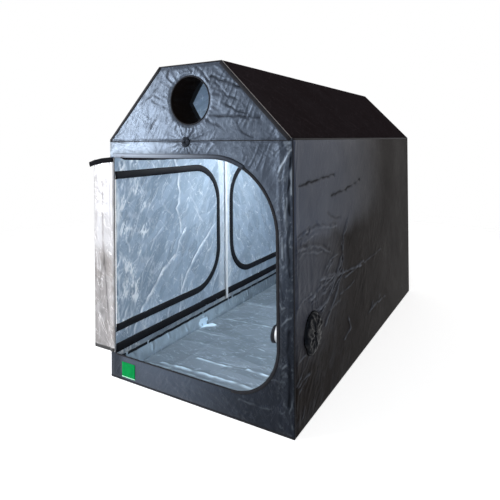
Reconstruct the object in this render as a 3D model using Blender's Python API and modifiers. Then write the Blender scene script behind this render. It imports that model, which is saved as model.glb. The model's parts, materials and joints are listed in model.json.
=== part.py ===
# Indoor grow tent with an attic-shaped roof: a tube frame with plug-in connectors, a lined
# fabric cover sewn from panels, a removable floor tray, a front door that folds away in strips,
# two zipped side doors, drawstring vents and zip sliders.
# Metres, +Z up. The origin is the centre of the floor's underside, the front faces -Y.

import math

import bmesh
import bpy
from mathutils import Matrix, Vector

MM = 0.001

# Tent size, over the cover
WIDTH = 1200 * MM
LENGTH = 2400 * MM
EAVE_HEIGHT = 1400 * MM
PEAK_HEIGHT = 1800 * MM
ROOF_FLAT = 420 * MM

# Cloth and clearances
CLOTH_T = 1 * MM
FIT_GAP = 0.3 * MM

# Frame tubes and their plug-in connectors
TUBE_OD = 20 * MM
TUBE_WALL = 1 * MM
PLUG_CLEARANCE = 0.4 * MM
PLUG_LENGTH = 45 * MM
COLLAR_STEP = 0.6 * MM
HUB_PROUD = 0.2 * MM
HUB_REACH = 32 * MM
ROUND_STEPS = 12
HUB_RINGS = 6
WELD_DISTANCE = 0.03 * MM
SHARP_FROM = math.radians(40)

# Floor tray
TRAY_INSET = 34 * MM
TRAY_HEIGHT = 115 * MM

# Front doorway, measured from the left edge of the front wall, from the floor and from the eave
DOORWAY_LEFT = 36 * MM
DOORWAY_RIGHT_RAIL = 88 * MM
DOORWAY_SILL = 145 * MM
DOORWAY_HEADER = 103 * MM
DOORWAY_TOP_R = 370 * MM
DOORWAY_SILL_R = 260 * MM

# Front door: one wide strip at the hinge, then narrow strips stored behind it, past the corner
NARROW_STRIPS = 7
STACK_CLEARANCE = 8 * MM
ZIP_GAP = 5 * MM
FOLD_OFFSET = 0.35 * MM
FOLD_GAP = 0.6 * MM
ARC_STEPS = 8
JAMB_TAPE_INSET = 0.5 * MM

# Side doors in the left wall, mirrored about the middle post
SIDE_DOOR_HINGE = 36 * MM
SIDE_DOOR_POST_GAP = 100 * MM
SIDE_DOOR_SILL = 275 * MM
SIDE_DOOR_HEADER = 220 * MM
SIDE_DOOR_R = 280 * MM

# Roof vent in the front gable, with the sleeve that hangs open behind it
ROOF_VENT_R_SHARE = 0.325
ROOF_VENT_HEIGHT_SHARE = 0.5125
SLEEVE_DEPTH = 100 * MM
SLEEVE_MOUTH_W_SHARE = 0.985
SLEEVE_MOUTH_H_SHARE = 0.846
SLEEVE_CREASE_SHARE = 0.8
SLEEVE_FLANGE = 12 * MM
SLEEVE_STEPS = 32
SLEEVE_RINGS = 5

# Low vent in the right wall, closed outside by its drawstring, with an open sleeve inside
LOW_VENT_R = 100 * MM
LOW_VENT_Y = 210 * MM
LOW_VENT_Z = 424 * MM
LOW_SLEEVE_DEPTH = 190 * MM
LOW_SLEEVE_MOUTH_R = 45 * MM
LOW_SLEEVE_DROOP = 52 * MM
SOCK_FLANGE = 10 * MM
SOCK_BULGE = 26 * MM
SOCK_KNOT_R = 13 * MM
SOCK_SPAN_SHARES = (0, 0.3, 0.65, 1)
PLEAT_STEPS = 4
SOCK_PLEATS = 14
SOCK_PLEAT_DEPTH = 6 * MM

# Drawstring cable port at the eave seam of the front wall
PORT_R = 25 * MM
PORT_X = -23 * MM
PORT_BELOW_EAVE = 15 * MM
PORT_BULGE = 9 * MM
PORT_KNOT_R = 5 * MM
PORT_PLEATS = 9
PORT_PLEAT_DEPTH = 2 * MM

# Zip sliders
SLIDER_LENGTH = 20 * MM
SLIDER_WIDTH = 9 * MM
SLIDER_HEIGHT = 4 * MM
SLIDER_BEVEL = 1.2 * MM
FRONT_SLIDER_X = 60 * MM
SIDE_SLIDER_RUN = 80 * MM

# Values worked out from the sizes above
TUBE_R = TUBE_OD / 2
BORE_R = TUBE_R - TUBE_WALL
PLUG_R = BORE_R - PLUG_CLEARANCE
COLLAR_R = TUBE_R - COLLAR_STEP
HUB_R = TUBE_R + HUB_PROUD
TUBE_INSET = CLOTH_T + FIT_GAP + TUBE_R
ROOF_RUN = (WIDTH - ROOF_FLAT) / 2
ROOF_RISE = PEAK_HEIGHT - EAVE_HEIGHT
ROOF_SLOPE = math.hypot(ROOF_RUN, ROOF_RISE)
ROOF_ANGLE = math.atan2(ROOF_RISE, ROOF_RUN)
NORMAL_X = ROOF_RISE / ROOF_SLOPE
NORMAL_Z = ROOF_RUN / ROOF_SLOPE
NORMAL_ANGLE = math.atan2(NORMAL_Z, NORMAL_X)
FRONT_Y = -LENGTH / 2
LEFT_X = -WIDTH / 2
POST_X = WIDTH / 2 - TUBE_INSET
END_Y = LENGTH / 2 - TUBE_INSET
EAVE_Z = EAVE_HEIGHT - TUBE_INSET * (1 - NORMAL_X) / NORMAL_Z
RIDGE_X = ROOF_FLAT / 2 - TUBE_INSET * (1 - NORMAL_Z) / NORMAL_X
RIDGE_Z = PEAK_HEIGHT - TUBE_INSET
RAFTER_REACH = max(HUB_REACH, (TUBE_R + FIT_GAP) / math.tan(ROOF_ANGLE / 2))
ROOF_VENT_R = ROOF_VENT_R_SHARE * ROOF_RISE
ROOF_VENT_Z = EAVE_HEIGHT + ROOF_VENT_HEIGHT_SHARE * ROOF_RISE
DOORWAY_RIGHT = WIDTH - DOORWAY_RIGHT_RAIL
DOORWAY_TOP = EAVE_HEIGHT - DOORWAY_HEADER
SIDE_DOOR_TOP = EAVE_HEIGHT - SIDE_DOOR_HEADER
PAST_CORNER = DOORWAY_LEFT + STACK_CLEARANCE
NARROW_STRIP = (DOORWAY_RIGHT - DOORWAY_LEFT - PAST_CORNER) / (NARROW_STRIPS + 1)
FIRST_STRIP = NARROW_STRIP + PAST_CORNER

COLOURS = {
    "white_coated": ((0.85, 0.85, 0.84), 0.35, 0.0),
    "connector": ((0.05, 0.05, 0.055), 0.45, 0.0),
    "black_cloth": ((0.045, 0.047, 0.055), 0.55, 0.0),
    "foil_lining": ((0.75, 0.75, 0.77), 0.3, 0.8),
    "tray_sheet": ((0.7, 0.7, 0.72), 0.35, 0.6),
    "zip_metal": ((0.2, 0.2, 0.21), 0.35, 0.9),
}

for old in list(bpy.data.objects):
    bpy.data.objects.remove(old, do_unlink=True)

parts = bpy.data.collections.new("grow_tent")
cutters = bpy.data.collections.new("cutters")
cutters.hide_render = True
bpy.context.scene.collection.children.link(parts)
bpy.context.scene.collection.children.link(cutters)
bpy.context.scene.unit_settings.system = "METRIC"


def finish(obj, colour):
    """Gives a sub-part its own material, named after it."""
    rgb, roughness, metallic = COLOURS[colour]
    material = bpy.data.materials.new(obj.name)
    material.use_nodes = True
    shader = material.node_tree.nodes["Principled BSDF"]
    shader.inputs["Base Color"].default_value = (*rgb, 1)
    shader.inputs["Roughness"].default_value = roughness
    shader.inputs["Metallic"].default_value = metallic
    obj.data.materials.append(material)
    material.diffuse_color = (*rgb, 1)


def add(name, data, colour=None, collection=parts):
    """Puts new geometry in the scene, as a part or as a hidden tool for a Boolean."""
    obj = bpy.data.objects.new(name, data)
    collection.objects.link(obj)
    if collection is cutters:
        obj.hide_render = True
        obj.display_type = "WIRE"
    if colour:
        finish(obj, colour)
    return obj


def pointing(start, direction):
    """A placement at a point with local +Z along a direction."""
    turn = Vector(direction).to_track_quat("Z", "Y").to_matrix().to_4x4()
    return Matrix.Translation(Vector(start)) @ turn


# Turned pieces: tubes, plugs and connectors


def turned(name, outline, closed):
    """Spins an outline of (radius, height) points about Z."""
    mesh = bpy.data.meshes.new(name)
    shape = bmesh.new()
    points = [shape.verts.new((radius, 0, height)) for radius, height in outline]
    edges = [shape.edges.new(pair) for pair in zip(points, points[1:])]
    if closed:
        edges.append(shape.edges.new((points[-1], points[0])))
    bmesh.ops.spin(
        shape,
        geom=points + edges,
        cent=(0, 0, 0),
        axis=(0, 0, 1),
        angle=math.tau,
        steps=ROUND_STEPS,
        use_merge=True,
    )
    bmesh.ops.remove_doubles(shape, verts=shape.verts, dist=WELD_DISTANCE)
    bmesh.ops.recalc_face_normals(shape, faces=shape.faces)
    shape.to_mesh(mesh)
    shape.free()
    mesh.shade_smooth()
    mesh.set_sharp_from_angle(angle=SHARP_FROM)
    return mesh


def tube(name, start, end, reach=HUB_REACH):
    """An open tube whose ends slip over the plugs of the connectors at two frame points."""
    start, end = Vector(start), Vector(end)
    along = (end - start).normalized()
    trim = reach + FIT_GAP
    length = (end - start).length - trim - HUB_REACH - FIT_GAP
    outline = [(BORE_R, 0), (TUBE_R, 0), (TUBE_R, length), (BORE_R, length)]
    obj = add(name, turned(name, outline, closed=True), "white_coated")
    obj.matrix_world = pointing(start + along * trim, along)
    return obj


def plug_leg(name, place, direction, reach=HUB_REACH):
    """A Boolean tool: a collar from the frame point out, then the plug that enters a tube."""
    tip = reach + PLUG_LENGTH
    outline = [(0, 0), (COLLAR_R, 0), (COLLAR_R, reach), (PLUG_R, reach), (PLUG_R, tip), (0, tip)]
    leg = add(name, turned(name, outline, closed=False), collection=cutters)
    leg.matrix_world = pointing(place, direction)
    return leg


def join(obj, tools):
    """Unites a piece with the tools that complete it."""
    for tool in tools:
        union = obj.modifiers.new(tool.name, "BOOLEAN")
        union.operation = "UNION"
        union.solver = "EXACT"
        union.object = tool


def legs(name, place, directions, to_ridge):
    """The plugged legs at a frame point, the one to the ridge long enough for a low roof."""
    tools = []
    for n, way in enumerate(directions):
        reach = RAFTER_REACH if way is to_ridge else HUB_REACH
        tools.append(plug_leg(f"{name}_leg_{n}", place, way, reach))
    return tools


def connector(name, place, directions, to_ridge=None):
    """A ball hub with one plugged leg for each tube that meets there."""
    mesh = bpy.data.meshes.new(name)
    shape = bmesh.new()
    bmesh.ops.create_uvsphere(shape, u_segments=ROUND_STEPS, v_segments=HUB_RINGS, radius=HUB_R)
    shape.to_mesh(mesh)
    shape.free()
    mesh.shade_smooth()
    hub = add(name, mesh, "connector")
    hub.location = place
    join(hub, legs(name, place, directions, to_ridge))


def rail(name, start, end, directions, to_ridge=None):
    """A lengthwise rail: two tube halves closed onto the middle tee that carries them."""
    start, end = Vector(start), Vector(end)
    along = (end - start).normalized()
    trim = HUB_REACH + FIT_GAP
    length = (end - start).length - 2 * trim
    bore = length / 2 - HUB_REACH
    outline = [(0, bore), (BORE_R, bore), (BORE_R, 0), (TUBE_R, 0)]
    outline += [(TUBE_R, length), (BORE_R, length), (BORE_R, length - bore), (0, length - bore)]
    obj = add(name, turned(name, outline, closed=False), "white_coated")
    obj.matrix_world = pointing(start + along * trim, along)
    join(obj, legs(name, (start + end) / 2, directions, to_ridge))


def build_frame():
    """Posts, rails, bars and rafters between the frame points, and the connectors on them."""
    floor_z = TUBE_INSET
    for side, sign in (("left", -1), ("right", 1)):
        inward = (-sign, 0, 0)
        to_ridge = (-sign * ROOF_RUN, 0, ROOF_RISE)
        to_eave = (sign * ROOF_RUN, 0, -ROOF_RISE)
        x, ridge_x = sign * POST_X, sign * RIDGE_X
        rail(f"floor_rail_{side}", (x, -END_Y, floor_z), (x, END_Y, floor_z), [(0, 0, 1)])
        eave_ends = (x, -END_Y, EAVE_Z), (x, END_Y, EAVE_Z)
        rail(f"eave_rail_{side}", *eave_ends, [(0, 0, -1), inward, to_ridge], to_ridge)
        ridge_ends = (ridge_x, -END_Y, RIDGE_Z), (ridge_x, END_Y, RIDGE_Z)
        rail(f"ridge_rail_{side}", *ridge_ends, [inward, to_eave])
        for end, y in (("front", -END_Y), ("middle", 0), ("rear", END_Y)):
            tube(f"post_{side}_{end}", (x, y, floor_z), (x, y, EAVE_Z))
            rafter_ends = (x, y, EAVE_Z), (ridge_x, y, RIDGE_Z)
            tube(f"rafter_{side}_{end}", *rafter_ends, RAFTER_REACH)
            if y == 0:
                continue
            away = (0, -math.copysign(1, y), 0)
            connector(f"floor_connector_{side}_{end}", (x, y, floor_z), [inward, away, (0, 0, 1)])
            eave_legs = [to_ridge, away, (0, 0, -1)]
            connector(f"eave_connector_{side}_{end}", (x, y, EAVE_Z), eave_legs, to_ridge)
            connector(f"ridge_connector_{side}_{end}", (ridge_x, y, RIDGE_Z), [inward, away, to_eave])
    for end, y in (("front", -END_Y), ("rear", END_Y)):
        tube(f"floor_bar_{end}", (-POST_X, y, floor_z), (POST_X, y, floor_z))
    for end, y in (("front", -END_Y), ("middle", 0), ("rear", END_Y)):
        tube(f"ridge_bar_{end}", (-RIDGE_X, y, RIDGE_Z), (RIDGE_X, y, RIDGE_Z))
    tube("hanging_bar", (-POST_X, 0, EAVE_Z), (POST_X, 0, EAVE_Z))


# Cloth panels


def arc(centre, radius, start, end, steps=ARC_STEPS):
    """Points on an arc, from a start angle to an end angle."""
    turns = [start + (end - start) * n / steps for n in range(steps + 1)]
    return [(centre[0] + radius * math.cos(a), centre[1] + radius * math.sin(a)) for a in turns]


def plate(name, loops, thickness, colour):
    """A flat sheet in local XY from its outline and holes, centred on its own plane."""
    curve = bpy.data.curves.new(name, "CURVE")
    curve.dimensions = "2D"
    curve.fill_mode = "BOTH"
    curve.extrude = thickness / 2
    for loop in loops:
        spline = curve.splines.new("POLY")
        spline.points.add(len(loop) - 1)
        for point, (x, y) in zip(spline.points, loop):
            point.co = (x, y, 0, 1)
        spline.use_cyclic_u = True
    return add(name, curve, colour)


def as_mesh(obj):
    """Turns a plate's curve into a welded mesh, so that a tool can be joined to it."""
    mesh = bpy.data.meshes.new_from_object(obj)
    name = obj.name
    bpy.data.objects.remove(obj, do_unlink=True)
    shape = bmesh.new()
    shape.from_mesh(mesh)
    bmesh.ops.remove_doubles(shape, verts=shape.verts, dist=WELD_DISTANCE)
    bmesh.ops.recalc_face_normals(shape, faces=shape.faces)
    shape.to_mesh(mesh)
    shape.free()
    return add(name, mesh)


def face_front(obj, x, y, z):
    """Stands a plate up in the XZ plane."""
    obj.rotation_euler = (math.radians(90), 0, 0)
    obj.location = (x, y, z)


def face_side(obj, x, y, z):
    """Stands a plate up in the YZ plane."""
    obj.rotation_euler = (math.radians(90), 0, math.radians(90))
    obj.location = (x, y, z)


def roof_line(inset):
    """The roof's outline from the right eave over both ridges to the left eave."""
    eave_z = EAVE_HEIGHT - inset * (1 - NORMAL_X) / NORMAL_Z
    bend = arc((RIDGE_X, RIDGE_Z), TUBE_INSET - inset, NORMAL_ANGLE, math.radians(90), 3)
    half = [(WIDTH / 2 - inset, eave_z)] + bend
    return half + [(-x, z) for x, z in reversed(half)]


def gable_outline():
    """The house shape of the front and rear walls, standing on the floor sheet."""
    foot = CLOTH_T + FIT_GAP
    return [(WIDTH / 2, foot)] + roof_line(0) + [(-WIDTH / 2, foot)]


def doorway(left, right, sill, top, top_r, sill_r):
    """An opening with square corners at its hinge and round ones at its free side."""
    outline = [(left, top), (left, sill)]
    outline += arc((right - sill_r, sill + sill_r), sill_r, math.radians(-90), 0)
    outline += arc((right - top_r, top - top_r), top_r, 0, math.radians(90))
    return outline


def ring(centre, radius, steps=SLEEVE_STEPS):
    """A round hole's outline."""
    return arc(centre, radius, 0, math.tau, steps)[:-1]


def jamb_tape():
    """The tape sewn over the jamb that the front door hangs on, as a tool for the front wall."""
    left, right = JAMB_TAPE_INSET, DOORWAY_LEFT - FOLD_GAP
    low, high = DOORWAY_SILL, DOORWAY_TOP
    outline = [(left, low), (right, low), (right, high), (left, high)]
    tape = as_mesh(plate("jamb_tape", [outline], CLOTH_T + FIT_GAP, None))
    cutters.objects.link(tape)
    parts.objects.unlink(tape)
    tape.hide_render = True
    tape.display_type = "WIRE"
    face_front(tape, LEFT_X, FRONT_Y - CLOTH_T / 2, 0)
    return tape


def build_walls():
    """Front and rear gables, side walls, roof and floor of the cover."""
    door_hole = doorway(
        LEFT_X + DOORWAY_LEFT,
        LEFT_X + DOORWAY_RIGHT,
        DOORWAY_SILL,
        DOORWAY_TOP,
        DOORWAY_TOP_R,
        DOORWAY_SILL_R,
    )
    vent_hole = ring((0, ROOF_VENT_Z), ROOF_VENT_R)
    front = as_mesh(plate("front_wall", [gable_outline(), door_hole, vent_hole], CLOTH_T, "black_cloth"))
    face_front(front, 0, FRONT_Y + CLOTH_T / 2, 0)
    join(front, [jamb_tape()])
    rear = plate("rear_wall", [gable_outline()], CLOTH_T, "black_cloth")
    face_front(rear, 0, -FRONT_Y - CLOTH_T / 2, 0)

    reach = LENGTH / 2 - CLOTH_T - FIT_GAP
    foot = CLOTH_T + FIT_GAP
    head = EAVE_HEIGHT - NORMAL_Z * CLOTH_T - FIT_GAP
    wall = [(-reach, foot), (reach, foot), (reach, head), (-reach, head)]
    first = doorway(*side_door_sizes(0))
    second = [(-y, z) for y, z in reversed(first)]
    left = plate("left_wall", [wall, first, second], CLOTH_T, "black_cloth")
    face_side(left, LEFT_X + CLOTH_T / 2, 0, 0)
    vent = ring((FRONT_Y + LOW_VENT_Y, LOW_VENT_Z), LOW_VENT_R)
    right = plate("right_wall", [wall, vent], CLOTH_T, "black_cloth")
    face_side(right, WIDTH / 2 - CLOTH_T / 2, 0, 0)

    outside, inside = roof_line(0), roof_line(CLOTH_T)
    hem = (WIDTH / 2 - NORMAL_X * CLOTH_T, EAVE_HEIGHT - NORMAL_Z * CLOTH_T)
    inside[0] = hem
    inside[-1] = (-hem[0], hem[1])
    roof = plate("roof_cover", [outside + inside[::-1]], 2 * reach, "black_cloth")
    face_front(roof, 0, 0, 0)

    half_w, half_l = WIDTH / 2, LENGTH / 2
    base = [(-half_w, -half_l), (half_w, -half_l), (half_w, half_l), (-half_w, half_l)]
    floor = plate("floor_sheet", [base], CLOTH_T, "black_cloth")
    floor.location = (0, 0, CLOTH_T / 2)


def build_tray():
    """The spill tray: a shallow open box that stands on the floor sheet inside the frame."""
    mesh = bpy.data.meshes.new("floor_tray")
    shape = bmesh.new()
    bmesh.ops.create_cube(shape, size=1)
    top = [face for face in shape.faces if face.normal.z > 0]
    bmesh.ops.delete(shape, geom=top, context="FACES_ONLY")
    size = (WIDTH - 2 * TRAY_INSET, LENGTH - 2 * TRAY_INSET, TRAY_HEIGHT)
    bmesh.ops.scale(shape, vec=size, verts=shape.verts)
    shape.to_mesh(mesh)
    shape.free()
    tray = add("floor_tray", mesh, "tray_sheet")
    tray.location = (0, 0, CLOTH_T + FIT_GAP + TRAY_HEIGHT / 2)
    shell = tray.modifiers.new("wall", "SOLIDIFY")
    shell.thickness = CLOTH_T
    shell.offset = -1
    shell.use_even_offset = True


# Doors


def hinge_point(name, x, y, turn):
    """An empty on a vertical hinge axis, turned to the door's rest position."""
    pivot = add(name, None)
    pivot.location = (x, y, 0)
    pivot.rotation_euler = (0, 0, turn)
    return pivot


def strip_outline(start, end, shift):
    """The part of the front door between two heights along its width, in hinge coordinates."""
    right = DOORWAY_RIGHT - ZIP_GAP
    sill, top = DOORWAY_SILL + ZIP_GAP, DOORWAY_TOP - ZIP_GAP
    top_r, sill_r = DOORWAY_TOP_R - ZIP_GAP, DOORWAY_SILL_R - ZIP_GAP

    def sill_at(x):
        past = max(0, x - (right - sill_r))
        return sill + sill_r - math.sqrt(sill_r**2 - past**2)

    def top_at(x):
        past = max(0, x - (right - top_r))
        return top - top_r + math.sqrt(top_r**2 - past**2)

    low = arc((right - sill_r, sill + sill_r), sill_r, math.radians(-90), 0)
    high = arc((right - top_r, top - top_r), top_r, 0, math.radians(90))
    if end < right:
        lower = [(start, sill_at(start))] + [p for p in low if start < p[0] < end] + [(end, sill_at(end))]
        upper = [(end, top_at(end))] + [p for p in high if start < p[0] < end] + [(start, top_at(start))]
    else:
        lower = [(start, sill_at(start))] + [p for p in low if start < p[0]]
        upper = [p for p in high if start < p[0]] + [(start, top_at(start))]
    return [(x - shift, z) for x, z in lower + upper]


def build_front_door():
    """Strips that fold like a screen, stored behind the first one at the left corner.

    They close just in front of the wall, and the tape along its jamb carries them."""
    fold_step = CLOTH_T + 2 * FOLD_OFFSET
    x, y = LEFT_X + DOORWAY_LEFT, FRONT_Y - FIT_GAP - CLOTH_T - FOLD_OFFSET
    along = DOORWAY_LEFT
    for number in range(1 + NARROW_STRIPS):
        width = NARROW_STRIP if number else FIRST_STRIP
        swung = number % 2 == 0
        pivot = hinge_point(f"fold_{number + 1}", x, y, math.pi if swung else 0)
        start = along + FOLD_GAP / 2
        end = along + width - FOLD_GAP / 2
        if number == NARROW_STRIPS:
            end = DOORWAY_RIGHT - ZIP_GAP
        outline = strip_outline(start, end, along)
        strip = plate(f"front_door_strip_{number + 1}", [outline], CLOTH_T, "foil_lining")
        on_black_side = number == 0 or number % 2 == 1
        offset = FOLD_OFFSET + CLOTH_T / 2
        face_front(strip, 0, offset if on_black_side else -offset, 0)
        strip.parent = pivot
        along += width
        x += -width if swung else width
        if number:
            y += fold_step


def side_door_sizes(clearance):
    """Left, right, sill, top and radii of the front side door, smaller by its zip clearance."""
    hinge = FRONT_Y + SIDE_DOOR_HINGE
    free = -SIDE_DOOR_POST_GAP - clearance
    sill, top = SIDE_DOOR_SILL + clearance, SIDE_DOOR_TOP - clearance
    radius = SIDE_DOOR_R - clearance
    return hinge, free, sill, top, radius, radius


def build_side_doors():
    """Two flaps in the left wall, each hung on the sewn edge at its corner of the tent."""
    hinge, free, sill, top, top_r, sill_r = side_door_sizes(ZIP_GAP)
    outline = doorway(FOLD_GAP, free - hinge, sill, top, top_r, sill_r)
    offset = FOLD_OFFSET + CLOTH_T / 2
    for end, sign in (("front", 1), ("rear", -1)):
        pivot = hinge_point(f"side_hinge_{end}", LEFT_X - FOLD_OFFSET, sign * hinge, 0)
        loop = outline if sign > 0 else [(-y, z) for y, z in reversed(outline)]
        door = plate(f"side_door_{end}", [loop], CLOTH_T, "black_cloth")
        face_side(door, offset, 0, 0)
        door.parent = pivot


# Vents and cable port


def shell_from_rings(name, rings, colour, thickness, capped):
    """Lofts rings of equal count into an open surface and gives it a wall."""
    mesh = bpy.data.meshes.new(name)
    shape = bmesh.new()
    rows = [[shape.verts.new(point) for point in points] for points in rings]
    for row in rows:
        for n, vert in enumerate(row):
            shape.edges.new((vert, row[(n + 1) % len(row)]))
    for lower, upper in zip(rows, rows[1:]):
        for n in range(len(lower)):
            m = (n + 1) % len(lower)
            shape.faces.new((lower[n], lower[m], upper[m], upper[n]))
    if capped:
        shape.faces.new(rows[-1])
    bmesh.ops.recalc_face_normals(shape, faces=shape.faces)
    shape.to_mesh(mesh)
    shape.free()
    obj = add(name, mesh, colour)
    wall = obj.modifiers.new("wall", "SOLIDIFY")
    wall.thickness = thickness
    wall.offset = 0
    return obj


def open_sleeve(name, radius, depth, mouth, droop, place):
    """An open sleeve: a flat flange behind the panel, then cloth that runs in to its mouth."""
    rings = [[place(x, z, 0) for x, z in ring((0, 0), radius + SLEEVE_FLANGE)]]
    for step in range(SLEEVE_RINGS + 1):
        share = step / SLEEVE_RINGS
        row = []
        for n in range(SLEEVE_STEPS):
            turn = math.tau * n / SLEEVE_STEPS
            rim = Vector((radius * math.cos(turn), radius * math.sin(turn)))
            at = rim.lerp(Vector(mouth(turn)), share)
            row.append(place(at.x, at.y - droop * share**2, depth * share))
        rings.append(row)
    shell_from_rings(name, rings, "black_cloth", CLOTH_T, capped=False)


def build_sleeves():
    """The sleeves inside both vents: the roof vent's mouth is creased, the low vent's is round."""
    seat = CLOTH_T + FIT_GAP + CLOTH_T / 2

    def creased(turn):
        round_x, round_z = math.cos(turn), math.sin(turn)
        spread = abs(round_x) + abs(round_z)
        pull = 1 - SLEEVE_CREASE_SHARE + SLEEVE_CREASE_SHARE / spread
        wide, high = SLEEVE_MOUTH_W_SHARE * ROOF_VENT_R, SLEEVE_MOUTH_H_SHARE * ROOF_VENT_R
        return wide * round_x * pull, high * round_z * pull

    def round_mouth(turn):
        return LOW_SLEEVE_MOUTH_R * math.cos(turn), LOW_SLEEVE_MOUTH_R * math.sin(turn)

    def behind_front(across, up, inward):
        return (across, FRONT_Y + seat + inward, ROOF_VENT_Z + up)

    def behind_right(across, up, inward):
        return (WIDTH / 2 - seat - inward, FRONT_Y + LOW_VENT_Y + across, LOW_VENT_Z + up)

    open_sleeve("roof_vent_sleeve", ROOF_VENT_R, SLEEVE_DEPTH, creased, 0, behind_front)
    droop = LOW_SLEEVE_DROOP
    open_sleeve("low_vent_sleeve", LOW_VENT_R, LOW_SLEEVE_DEPTH, round_mouth, droop, behind_right)


def gathered(name, radius, flange, bulge, knot, pleats, depth, place):
    """A drawstring closure: a flat hem, then cloth drawn in pleats to a knot."""
    steps = pleats * PLEAT_STEPS
    rings = [[place(x, z, 0) for x, z in ring((0, 0), radius + flange, steps)]]
    for share in SOCK_SPAN_SHARES:
        reach = radius + (knot - radius) * share
        rise = bulge * math.sin(share * math.pi / 2)
        row = []
        for n in range(steps):
            turn = math.tau * n / steps
            fold = depth * share * math.cos(pleats * turn) * reach / radius
            row.append(place(reach * math.cos(turn), reach * math.sin(turn), rise + fold))
        rings.append(row)
    return shell_from_rings(name, rings, "black_cloth", CLOTH_T, capped=True)


def build_closures():
    """The low vent's closed sock and the cable port at the eave seam."""
    seat = FIT_GAP + CLOTH_T / 2

    def on_right_wall(across, up, out):
        return (WIDTH / 2 + seat + out, FRONT_Y + LOW_VENT_Y + across, LOW_VENT_Z + up)

    def on_front_wall(across, up, out):
        height = EAVE_HEIGHT - PORT_BELOW_EAVE
        return (PORT_X + across, FRONT_Y - seat - out, height + up)

    gathered(
        "low_vent_sock",
        LOW_VENT_R,
        SOCK_FLANGE,
        SOCK_BULGE,
        SOCK_KNOT_R,
        SOCK_PLEATS,
        SOCK_PLEAT_DEPTH,
        on_right_wall,
    )
    gathered(
        "cable_port",
        PORT_R,
        FIT_GAP,
        PORT_BULGE,
        PORT_KNOT_R,
        PORT_PLEATS,
        PORT_PLEAT_DEPTH,
        on_front_wall,
    )


# Zip sliders


def slider(name, size, place):
    """A zip slider: a small bevelled body with its pull folded flat on it."""
    mesh = bpy.data.meshes.new(name)
    shape = bmesh.new()
    bmesh.ops.create_cube(shape, size=1)
    bmesh.ops.scale(shape, vec=size, verts=shape.verts)
    shape.to_mesh(mesh)
    shape.free()
    obj = add(name, mesh, "zip_metal")
    obj.location = place
    edge = obj.modifiers.new("edge", "BEVEL")
    edge.width = SLIDER_BEVEL
    edge.segments = 2


def build_sliders():
    """One slider on the straight run of each zip, clear of the cloth that swings away."""
    out = FIT_GAP + SLIDER_HEIGHT / 2
    above = DOORWAY_TOP + FIT_GAP + SLIDER_WIDTH / 2
    place = (LEFT_X + DOORWAY_LEFT + FRONT_SLIDER_X, FRONT_Y - out, above)
    slider("front_zip_slider", (SLIDER_LENGTH, SLIDER_HEIGHT, SLIDER_WIDTH), place)
    below = SIDE_DOOR_SILL - FIT_GAP - SLIDER_WIDTH / 2
    for end, sign in (("front", 1), ("rear", -1)):
        y = sign * (FRONT_Y + SIDE_DOOR_HINGE + SIDE_SLIDER_RUN)
        size = (SLIDER_HEIGHT, SLIDER_LENGTH, SLIDER_WIDTH)
        slider(f"side_zip_slider_{end}", size, (LEFT_X - out, y, below))


build_frame()
build_walls()
build_tray()
build_front_door()
build_side_doors()
build_sleeves()
build_closures()
build_sliders()
print("grow tent:", len([obj for obj in parts.objects if obj.type != "EMPTY"]), "sub-parts")
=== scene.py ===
import json
import math

import bmesh
import bpy
from mathutils import Matrix, Vector, noise


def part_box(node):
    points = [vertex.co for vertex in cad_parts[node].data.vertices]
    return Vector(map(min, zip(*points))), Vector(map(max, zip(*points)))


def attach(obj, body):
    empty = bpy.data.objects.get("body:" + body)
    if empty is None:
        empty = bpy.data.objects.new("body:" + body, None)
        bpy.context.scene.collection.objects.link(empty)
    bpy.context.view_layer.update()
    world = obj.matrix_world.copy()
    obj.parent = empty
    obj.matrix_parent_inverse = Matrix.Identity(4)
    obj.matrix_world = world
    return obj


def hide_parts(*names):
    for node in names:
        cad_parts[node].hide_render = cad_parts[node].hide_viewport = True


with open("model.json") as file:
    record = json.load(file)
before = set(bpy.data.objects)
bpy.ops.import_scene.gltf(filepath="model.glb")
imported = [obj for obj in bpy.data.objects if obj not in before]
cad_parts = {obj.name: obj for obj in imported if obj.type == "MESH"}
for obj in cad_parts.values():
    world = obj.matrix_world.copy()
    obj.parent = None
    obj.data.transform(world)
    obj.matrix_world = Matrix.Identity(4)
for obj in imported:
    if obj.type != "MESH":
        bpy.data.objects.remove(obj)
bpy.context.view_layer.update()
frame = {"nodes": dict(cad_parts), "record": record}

mm = 0.001

# The tent's own lines, read from the frame where it gives them
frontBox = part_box("front_wall")
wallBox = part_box("right_wall")
tent = {
    "halfWidth": frontBox[1][0],
    "halfLength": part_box("floor_sheet")[1][1],
    "peak": frontBox[1][2],
    "foot": frontBox[0][2],
    "eave": 1.4,
    "ridgeHalf": 0.21,
    "ridgeRound": 11.3 * mm,
    "cloth": 1 * mm,
}
doorway = {
    "left": -0.564,
    "right": 0.512,
    "low": 0.145,
    "high": 1.297,
    "highRadius": 0.37,
    "lowRadius": 0.26,
}
sideDoorway = {
    "left": -1.164,
    "right": -0.1,
    "low": 0.275,
    "high": 1.18,
    "highRadius": 0.28,
    "lowRadius": 0.28,
}
zipGap = 5 * mm
tapeStep = 0.02
edgeStep = 0.03
standOff = 0.2 * mm  # how far the smooth cloth stands off its frame
thinCloth = 0.8 * mm
roofVent = {"u": 0.0, "v": 1.605, "radius": 0.13}
lowVent = {"u": -0.99, "v": 0.424, "radius": 0.1}
port = {"u": -0.023, "v": 1.385, "radius": 0.025}


def smooth(share):
    share = min(1.0, max(0.0, share))
    return share * share * (3 - 2 * share)


sharpness = 2.4


def crease(u, v, size, seed):  # sharp ridges with soft hollows between, 0 to 1
    return 1 - min(1.0, abs(noise.noise(Vector((u / size, v / size, seed)))) * sharpness)


def swell(u, v, size, seed):  # slow swell, about 0 to 1
    return 0.5 + 0.5 * noise.noise(Vector((u / size, v / size, seed)))


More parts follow.
